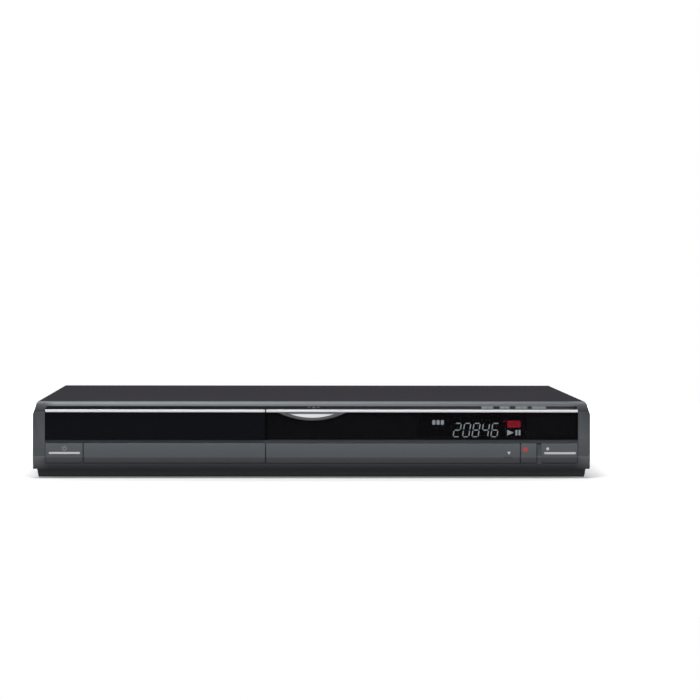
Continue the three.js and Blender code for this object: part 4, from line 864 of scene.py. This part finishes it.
def digits(shape):
    for number, left in zip((2, 0, 8, 4, 6), (109.1, 116.4, 123.7, 131.0, 138.3)):
        digit(shape, number, left, low=32.3, width=4.8, height=10.4, bar=0.8)

piece("display_digits", pale_glow, digits)
print("digits made")

# %% Display symbols
def stack_symbol(shape):
    for left in (93.0, 96.3, 99.6):
        slab(shape, panel(left + 1.2, 43.4, 2.4, 3.6, 0.7), *LAYER)

def play_symbol(shape):
    slab(shape, [(151.0, 33.3), (156.2, 35.5), (151.0, 37.7)], *LAYER)
    for middle in (158.2, 160.6):
        slab(shape, panel(middle, 35.5, 1.5, 4.2, 0.3), *LAYER)

def red_symbol(shape):
    slab(shape, panel(156.2, 42.1, 10.4, 5.4, 0.8), *LAYER)
    slab(shape, panel(148.6, 44.2, 2.0, 0.6, 0.2), *LAYER)

piece("display_stack", pale_glow, stack_symbol, round_by=0.05)
piece("display_play", pale_glow, play_symbol, round_by=0.05)
piece("display_red", red_glow, red_symbol, round_by=0.05)
print("display made")

# %% [markdown]
# ## Symbols on the keys
# The four keys in the groove are less than two millimetres high, so each carries one
# small plain sign, cut from the same kind of film. One more stands in the groove above
# the crescent button.

# %% Key symbols
KEY_FACE = 0.7
KEY_FILM = (KEY_FACE - 0.03, KEY_FACE + 0.1)
KEY_MIDDLE = 54.8
UP, DOWN, RIGHT = TURN / 4, -TURN / 4, 0

def triangle(u, v, size, turn):
    reach = 0.6 * size
    turns = (turn, turn + TURN / 3, turn - TURN / 3)
    return [(u + reach * math.cos(a), v + reach * math.sin(a)) for a in turns]

def key_symbol(name, outline_at):
    low, high = box_mm(name)
    plate(name + "_symbol", key_ink, outline_at((low[0] + high[0]) / 2), KEY_FILM, name)

key_symbol("channel_down_key", lambda u: triangle(u, KEY_MIDDLE, 1.4, DOWN))
key_symbol("channel_up_key", lambda u: triangle(u, KEY_MIDDLE, 1.4, UP))
key_symbol("stop_key", lambda u: panel(u, KEY_MIDDLE, 1.2, 1.2, 0.1))
key_symbol("play_key", lambda u: triangle(u, KEY_MIDDLE, 1.4, RIGHT))

def groove_mark(shape):
    """An open and close sign between two short bars."""
    film = (2.5, 2.65)
    slab(shape, [(0.0, 55.0), (2.6, 55.0), (1.3, 55.8)], *film)
    slab(shape, panel(1.3, 54.65, 2.6, 0.3, 0.1), *film)
    for middle in (-2.2, 4.8):
        slab(shape, panel(middle, 55.2, 2.8, 0.5, 0.1), *film)

piece("groove_mark", grey_ink, groove_mark)
print("symbols made")

# %% [markdown]
# ## Phono sockets
# Every phono socket is a metal sleeve round a coloured core, with a wide collar of the
# same colour at its foot. The colours are the usual ones for picture and sound. The cores
# belong to one moulded block, so its finish takes its colour from the place on the block.
# The front sockets look forward and the rear ones backward, so one function turns both.

# %% Socket colours
SOCKET_SHADES = {
    "yellow": shade(214, 178, 40),
    "white": shade(214, 213, 206),
    "red": shade(176, 38, 36),
    "green": shade(40, 120, 66),
    "blue": shade(38, 74, 150),
    "orange": shade(206, 104, 34),
}
def collar_plastic(name):
    return moulded(name + "_collar", SOCKET_SHADES[name], 0.4, tone=0.05)

SOCKET_PLASTICS = {name: collar_plastic(name) for name in SOCKET_SHADES}
UPPER_ROW = ("orange", "red", "white", "yellow")
LOWER_ROW = ("red", "blue", "green", "yellow")
FRONT_ROW = ("yellow", "white", "red")
ROW_SPLIT = 30

def socket_block(name, upper, lower, edges, black_to):
    """A black block whose sockets have their colours from a given depth outwards."""
    finish = Finish(name)
    across = finish.along("X")
    def row(colours):
        paint = SOCKET_SHADES[colours[0]]
        for edge, colour in zip(edges, colours[1:]):
            paint = finish.blend(across > edge, paint, SOCKET_SHADES[colour])
        return paint
    paint = finish.blend(finish.along("Z") > ROW_SPLIT, row(lower), row(upper))
    depth = finish.along("Y")
    outside = depth > black_to if black_to > 0 else depth < black_to
    return finish.surface(
        Base_Color=finish.blend(outside, BLACK, paint),
        Roughness=0.4 + finish.noise(FLAKE, 3) * 0.1,
    )

rear_sockets = socket_block("rear_sockets", UPPER_ROW, LOWER_ROW, (-55, -41, -27), black_to=156)
front_sockets = socket_block("front_sockets", FRONT_ROW, FRONT_ROW, (-6.4, 7.6), black_to=-155.5)
dress("rear_phono_block", rear_sockets, 0.25)
dress("front_phono_block", front_sockets, 0.2)

# %% Collars and sleeves
BARREL = 4.1
REAR_FACE = 320.6
REAR_END = 329.97
FRONT_FACE = 9.8
FRONT_END = 7.02

def phono(name, colour, centre, foot, end):
    out = 1 if end > foot else -1
    def collar(shape):
        inner, outer, rim = BARREL + 0.05, BARREL + 1.5, foot + 0.9 * out
        slope = [(outer, foot + 0.5 * out), (BARREL + 1.2, rim)]
        turned(shape, centre, [(inner, foot), (outer, foot)] + slope + [(inner, rim)])
    def sleeve(shape):
        inner, outer, start = BARREL + 0.02, BARREL + 0.3, foot + out
        slope = [(outer, end - 0.2 * out), (BARREL + 0.1, end)]
        turned(shape, centre, [(inner, start), (outer, start)] + slope + [(inner, end)])
    piece(name + "_collar", SOCKET_PLASTICS[colour], collar)
    piece(name + "_sleeve", socket_metal, sleeve)

for column, x in enumerate((-62, -48, -34, -20)):
    phono("rear_upper_" + str(column), UPPER_ROW[column], (x, 38), REAR_FACE, REAR_END)
    phono("rear_lower_" + str(column), LOWER_ROW[column], (x, 22), REAR_FACE, REAR_END)
for colour, x in zip(FRONT_ROW, (-13.4, 0.6, 14.6)):
    phono("front_" + colour, colour, (x, 21), FRONT_FACE, FRONT_END)
print("phono sockets made")

# %% [markdown]
# ## Contacts of the other sockets
# A moulded socket only works with metal in it. The wide sockets get a tongue with two
# rows of contacts, the small ones a thin tongue, and the mains inlet two bright pins.
# Each stands inside its recess, so that it shows as soon as someone looks in.

# %% Tongues
gold = streaked("gold_contact", shade(220, 180, 96), 0.3, (1, 1, 1))

def tongue(name, centre, width, height, start, end, contacts, pitch):
    """A moulded tongue, with contacts on both sides that reach its tip."""
    u, v = centre
    out = 1 if end > start else -1
    def strips(shape):
        for row in (-1, 1):
            for i in range(contacts):
                middle = u + (i - (contacts - 1) / 2) * pitch
                side = v + row * height * 0.25
                strip = panel(middle, side, pitch * 0.3, height * 0.22, 0.02 * height)
                slab(shape, strip, end - out, end + 0.03 * out)
    outline = panel(u, v, width, height, height * 0.3)
    plate(name + "_tongue", black_plastic, outline, (start, end), round_by=0.15)
    piece(name + "_contacts", gold, strips)

SCART_X = -107
DIGITAL_VIDEO = (14, 19)
tongue("scart_lower", (SCART_X, 23.5), 38.5, 6.4, 316.1, 323.0, contacts=10, pitch=3.6)
tongue("scart_upper", (SCART_X, 44), 38.5, 6.4, 316.1, 323.0, contacts=10, pitch=3.6)
tongue("digital_video", DIGITAL_VIDEO, 11.2, 1.6, 313.3, 320.2, contacts=9, pitch=1.2)
tongue("camera_port", (64.6, 21), 4.2, 1.1, 14.1, 10.0, contacts=2, pitch=1.8)
print("tongues made")

# %% Pins and rings
MAINS = (182, 26)
S_VIDEO = (-27.4, 21)
AERIAL_X = -177

def mains_pins(shape):
    profile = [(0, 309.5), (1.26, 309.5), (1.26, 318.9), (0.9, 319.5), (0, 319.6)]
    for side in (-1, 1):
        turned(shape, (MAINS[0] + side * 4.3, MAINS[1]), profile, steps=20)

def s_video_pins(shape):
    profile = [(0, 15.8), (0.4, 15.8), (0.4, 10.6), (0.25, 10.3), (0, 10.25)]
    for u, v in ((-1.3, 1.6), (1.3, 1.6), (-2.4, -1.4), (2.4, -1.4)):
        turned(shape, (S_VIDEO[0] + u, S_VIDEO[1] + v), profile, steps=12)

def aerial_rings(shape):
    for v in (26, 40):
        washer(shape, (AERIAL_X, v), 0.7, 2.15, 324.0, 325.4, steps=24)

piece("mains_pins", socket_metal, mains_pins)
piece("s_video_pins", socket_metal, s_video_pins)
piece("aerial_rings", white_plastic, aerial_rings)
print("contacts made")

# %% [markdown]
# ## Screws
# A screw is told by its head: a low dome with a cross in it. A bump would stay flat when
# seen from the side, so the cross is a real recess. Its outline is cut in the flat top of
# the dome, and the ring between them is filled with triangles.

# %% Screw head
screw_steel = streaked("screw_steel", shade(120, 121, 124), 0.3, (1, 1, 1))
DOME_TOP = 1.25
CROSS_FLOOR = 0.55

def cross(centre, reach, half):
    u, v = centre
    quarter = [(reach, -half), (reach, half), (half, half)]
    points = []
    for turn in range(4):
        c, s = round(math.cos(turn * math.pi / 2)), round(math.sin(turn * math.pi / 2))
        points += [(u + c * a - s * b, v + s * a + c * b) for a, b in quarter]
    return points

def screw_head(shape, centre, foot, out, facing="front", radius=2.8):
    def ring(points, height):
        return hoop(shape, points, foot + out * height, facing)
    dome = [(radius, 0), (radius, 0.4), (radius * 0.9, 0.9), (radius * 0.66, DOME_TOP)]
    rings = [ring(circle(*centre, r, 24), height) for r, height in dome]
    shape.faces.new(rings[0])
    for lower, upper in zip(rings, rings[1:]):
        wall(shape, lower, upper)
    mouth = ring(cross(centre, radius * 0.5, radius * 0.13), DOME_TOP)
    floor = ring(cross(centre, radius * 0.4, radius * 0.1), CROSS_FLOOR)
    wall(shape, mouth, floor)
    shape.faces.new(floor)
    rims = []
    for loop in (rings[-1], mouth):
        rims += [shape.edges.get((loop[i - 1], loop[i])) for i in range(len(loop))]
    bmesh.ops.triangle_fill(shape, use_beauty=True, edges=rims)

print("corners of the cross:", len(cross((0, 0), 1, 0.3)))

# %% Screws of the casing
FAN_MIDDLE = (85.4, 32)
FAN_REACH = 17.4
REAR_SCREWS = [(-196, 51), (-196, 12), (-151, 33), (-107, 33.7), (-41, 30)]
REAR_SCREWS += [(30, 52), (135, 11), (203, 52), (203, 11)]
for across in (-FAN_REACH, FAN_REACH):
    for up in (-FAN_REACH, FAN_REACH):
        REAR_SCREWS.append((FAN_MIDDLE[0] + across, FAN_MIDDLE[1] + up))

def rear_screws(shape):
    for place in REAR_SCREWS:
        screw_head(shape, place, REAR_FACE, 1)

def side_screws(shape):
    cover_half = box_mm("top_cover")[1][0]
    for side in (-1, 1):
        for depth in (40, 296):
            screw_head(shape, (depth, 14), side * cover_half, side, "side", 3.2)

piece("rear_screws", screw_steel, rear_screws)
piece("side_screws", screw_steel, side_screws)
print("screws:", len(REAR_SCREWS) + 4)

# %% [markdown]
# ## Print and labels on the back
# Thin printed frames hold the groups of sockets together, and one blank label stands
# where the data of such a machine would be. It holds plain lines only, so nothing on it
# can be read.

# %% Frames of line
LINE_CORNER = 1.6

def frame_line(shape, u, v, width, height, line, low, high, facing="front"):
    """A rectangle of line as one closed ring."""
    outer = panel(u, v, width, height, LINE_CORNER)
    inner = panel(u, v, width - 2 * line, height - 2 * line, LINE_CORNER - line)
    corners = ((outer, low), (outer, high), (inner, high), (inner, low))
    rings = [hoop(shape, points, level, facing) for points, level in corners]
    for ring, other in zip(rings, rings[1:] + rings[:1]):
        wall(shape, ring, other)

print("line corners:", LINE_CORNER, "mm")

# %% Rear print
LABEL = (136, 34)

def rear_lines(shape):
    film = (REAR_FACE - 0.1, REAR_FACE + 0.04)
    frame_line(shape, -41, 30, 60, 32, 0.4, *film)
    frame_line(shape, AERIAL_X, 33, 26, 38, 0.4, *film)
    frame_line(shape, *DIGITAL_VIDEO, 24, 15, 0.4, *film)

def label_lines(shape):
    film = (REAR_FACE + 0.02, REAR_FACE + 0.11)
    frame_line(shape, *LABEL, 39, 25, 0.35, *film)
    for step in (6, 0, -6):
        slab(shape, panel(LABEL[0], LABEL[1] + step, 32, 0.5, 0.2), *film)

label_paper = ink("label_paper", shade(226, 227, 228))
piece("rear_lines", dark_ink, rear_lines)
plate("rear_label", label_paper, panel(*LABEL, 42, 28, 1.5), (REAR_FACE - 0.05, REAR_FACE + 0.08))
piece("rear_label_lines", key_ink, label_lines)
plate("bottom_label", label_paper, panel(90, 110, 70, 40, 2), (4.12, 4.3), facing="up")
print("rear print made")

# %% [markdown]
# ## Parts on the boards
# Chips stand on two or four rows of tinned legs. The round capacitors have bare metal
# tops, scored with a cross so that they open there first if they fail. The bodies of
# these parts belong to the boards' solids, so only metal and scores are added here.

# %% Chip legs
BOARD_TOP = 13.6
LEG_FOOT = 1.1

def legs(shape, x, depth, length, count, pitch, across):
    """Two rows of legs beside a chip, along the depth or across it."""
    narrow = pitch * 0.45
    for side in (-1, 1):
        reach = side * (length / 2 + LEG_FOOT / 2 - 0.1)
        for i in range(count):
            step = (i - (count - 1) / 2) * pitch
            u, v = (x + step, depth + reach) if across else (x + reach, depth + step)
            wide, deep = (narrow, LEG_FOOT) if across else (LEG_FOOT, narrow)
            slab(shape, panel(u, v, wide, deep, 0.05, 1), BOARD_TOP - 0.1, BOARD_TOP + 0.45, "up")

def board_legs(shape):
    for across in (True, False):
        legs(shape, -108, 221, 26, 24, 1.0, across)
    for depth in (221, 241, 261, 281):
        legs(shape, -82, depth, 12, 12, 1.1, False)

piece("board_legs", socket_metal, board_legs)
print("legs made")

# %% Capacitor tops
CAPACITORS = [(132, 198, 11, 43.6)] + [(x, 288, 6, 31.6) for x in (156, 172, 188)]

def capacitor_tops(shape):
    for u, v, radius, top in CAPACITORS:
        washer(shape, (u, v), 0, radius * 0.8, top - 0.3, top + 0.12, "up")

def capacitor_scores(shape):
    for u, v, radius, top in CAPACITORS:
        slab(shape, cross((u, v), radius * 0.62, 0.18), top, top + 0.18, "up")

piece("capacitor_tops", socket_metal, capacitor_tops)
piece("capacitor_scores", dark_ink, capacitor_scores)
print("board parts made")

# %% [markdown]
# ## The disc drive
# The pickup looks up through a small blue lens, and the disc rests on a rubber ring. The
# lead screw is a real thread that winds along its rod, with the three millimetres from
# turn to turn by which the pickup moves. A bump would do at arm's length, but the screw
# is seen from close by when the cover is off.

# %% Drive details
DRIVE_X = -120.85
PICKUP = (DRIVE_X, 98.6)
SPINDLE = (DRIVE_X, 74)

def lens(shape):
    dome = [(1.9, 37.95), (1.4, 38.25), (0.7, 38.42), (0, 38.45)]
    turned(shape, PICKUP, [(0, 37.6), (1.9, 37.6)] + dome, "up")

def lens_ring(shape):
    washer(shape, PICKUP, 1.95, 2.5, 37.7, 38.05, "up")

def turntable_pad(shape):
    washer(shape, SPINDLE, 9.5, 14.2, 40.0, 40.26, "up")

def thread(shape):
    low, high = box_mm("lead_screw")
    middle = ((low[0] + high[0]) / 2, (low[2] + high[2]) / 2)
    pitch, steps, margin = 3.0, 16, 3
    start, end = low[1] + FRONT + margin, high[1] + FRONT - margin
    section = ((1.32, 0), (1.58, 0.45), (1.58, 0.75), (1.32, 1.2))
    at = FACINGS["front"]
    rings = []
    for i in range(int((end - start - pitch) / pitch * steps)):
        angle = TURN * i / steps
        level = start + pitch * i / steps
        ring = []
        for radius, shift in section:
            u = middle[0] + radius * math.cos(angle)
            v = middle[1] + radius * math.sin(angle)
            ring.append(shape.verts.new(at(u, v, level + shift)))
        rings.append(ring)
    for ring, other in zip(rings, rings[1:]):
        wall(shape, ring, other)
    shape.faces.new(rings[0])
    shape.faces.new(rings[-1])

lens_glass = polished("lens_glass", shade(40, 60, 120), 0.8)
piece("pickup_lens", lens_glass, lens, "pickup")
piece("pickup_lens_ring", white_plastic, lens_ring, "pickup")
piece("turntable_pad", foot_rubber, turntable_pad, "turntable")
piece("lead_screw_thread", ground_steel, thread, "screw")
print("drive details made")

# %% [markdown]
# ## The fan and the hard disk
# The fan's hub carries a round sticker. The hard disk has a blank label with plain lines
# and six screws in its lid. All of them take their places from the solids' own boxes.

# %% Fan and disk details
def fan_sticker(shape):
    depth = box_mm("fan_rotor")[1][1] + FRONT
    washer(shape, FAN_MIDDLE, 0, 6.4, depth - 0.2, depth + 0.06)

disk_low, disk_high = box_mm("hard_disk")
DISK_TOP = disk_high[2]
DISK_MIDDLE = ((disk_low[0] + disk_high[0]) / 2, (disk_low[1] + disk_high[1]) / 2 + FRONT)
SCREW_INSET = 4

def disk_screws(shape):
    near, far = disk_low[1] + FRONT + SCREW_INSET, disk_high[1] + FRONT - SCREW_INSET
    for x in (disk_low[0] + SCREW_INSET, disk_high[0] - SCREW_INSET):
        for depth in (near, DISK_MIDDLE[1], far):
            screw_head(shape, (x, depth), DISK_TOP - 0.1, 1, "up", 2.0)

def disk_label_lines(shape):
    u, v = DISK_MIDDLE
    film = (DISK_TOP + 0.02, DISK_TOP + 0.11)
    frame_line(shape, u, v, 72, 90, 0.6, *film, "up")
    for step in (-30, -22, -14, 20, 28):
        slab(shape, panel(u, v + step, 56, 0.8, 0.3), *film, "up")

piece("fan_sticker", label_paper, fan_sticker, "fan")
piece("disk_screws", screw_steel, disk_screws)
label_levels = (DISK_TOP - 0.2, DISK_TOP + 0.08)
plate("disk_label", label_paper, panel(*DISK_MIDDLE, 78, 96, 3), label_levels, facing="up")
piece("disk_label_lines", key_ink, disk_label_lines)
print("fan and disk details made")

# %% [markdown]
# ## Finish
# The last line prints how many meshes the scene holds.

# %% Finish
print("meshes in all:", len(bpy.data.meshes))
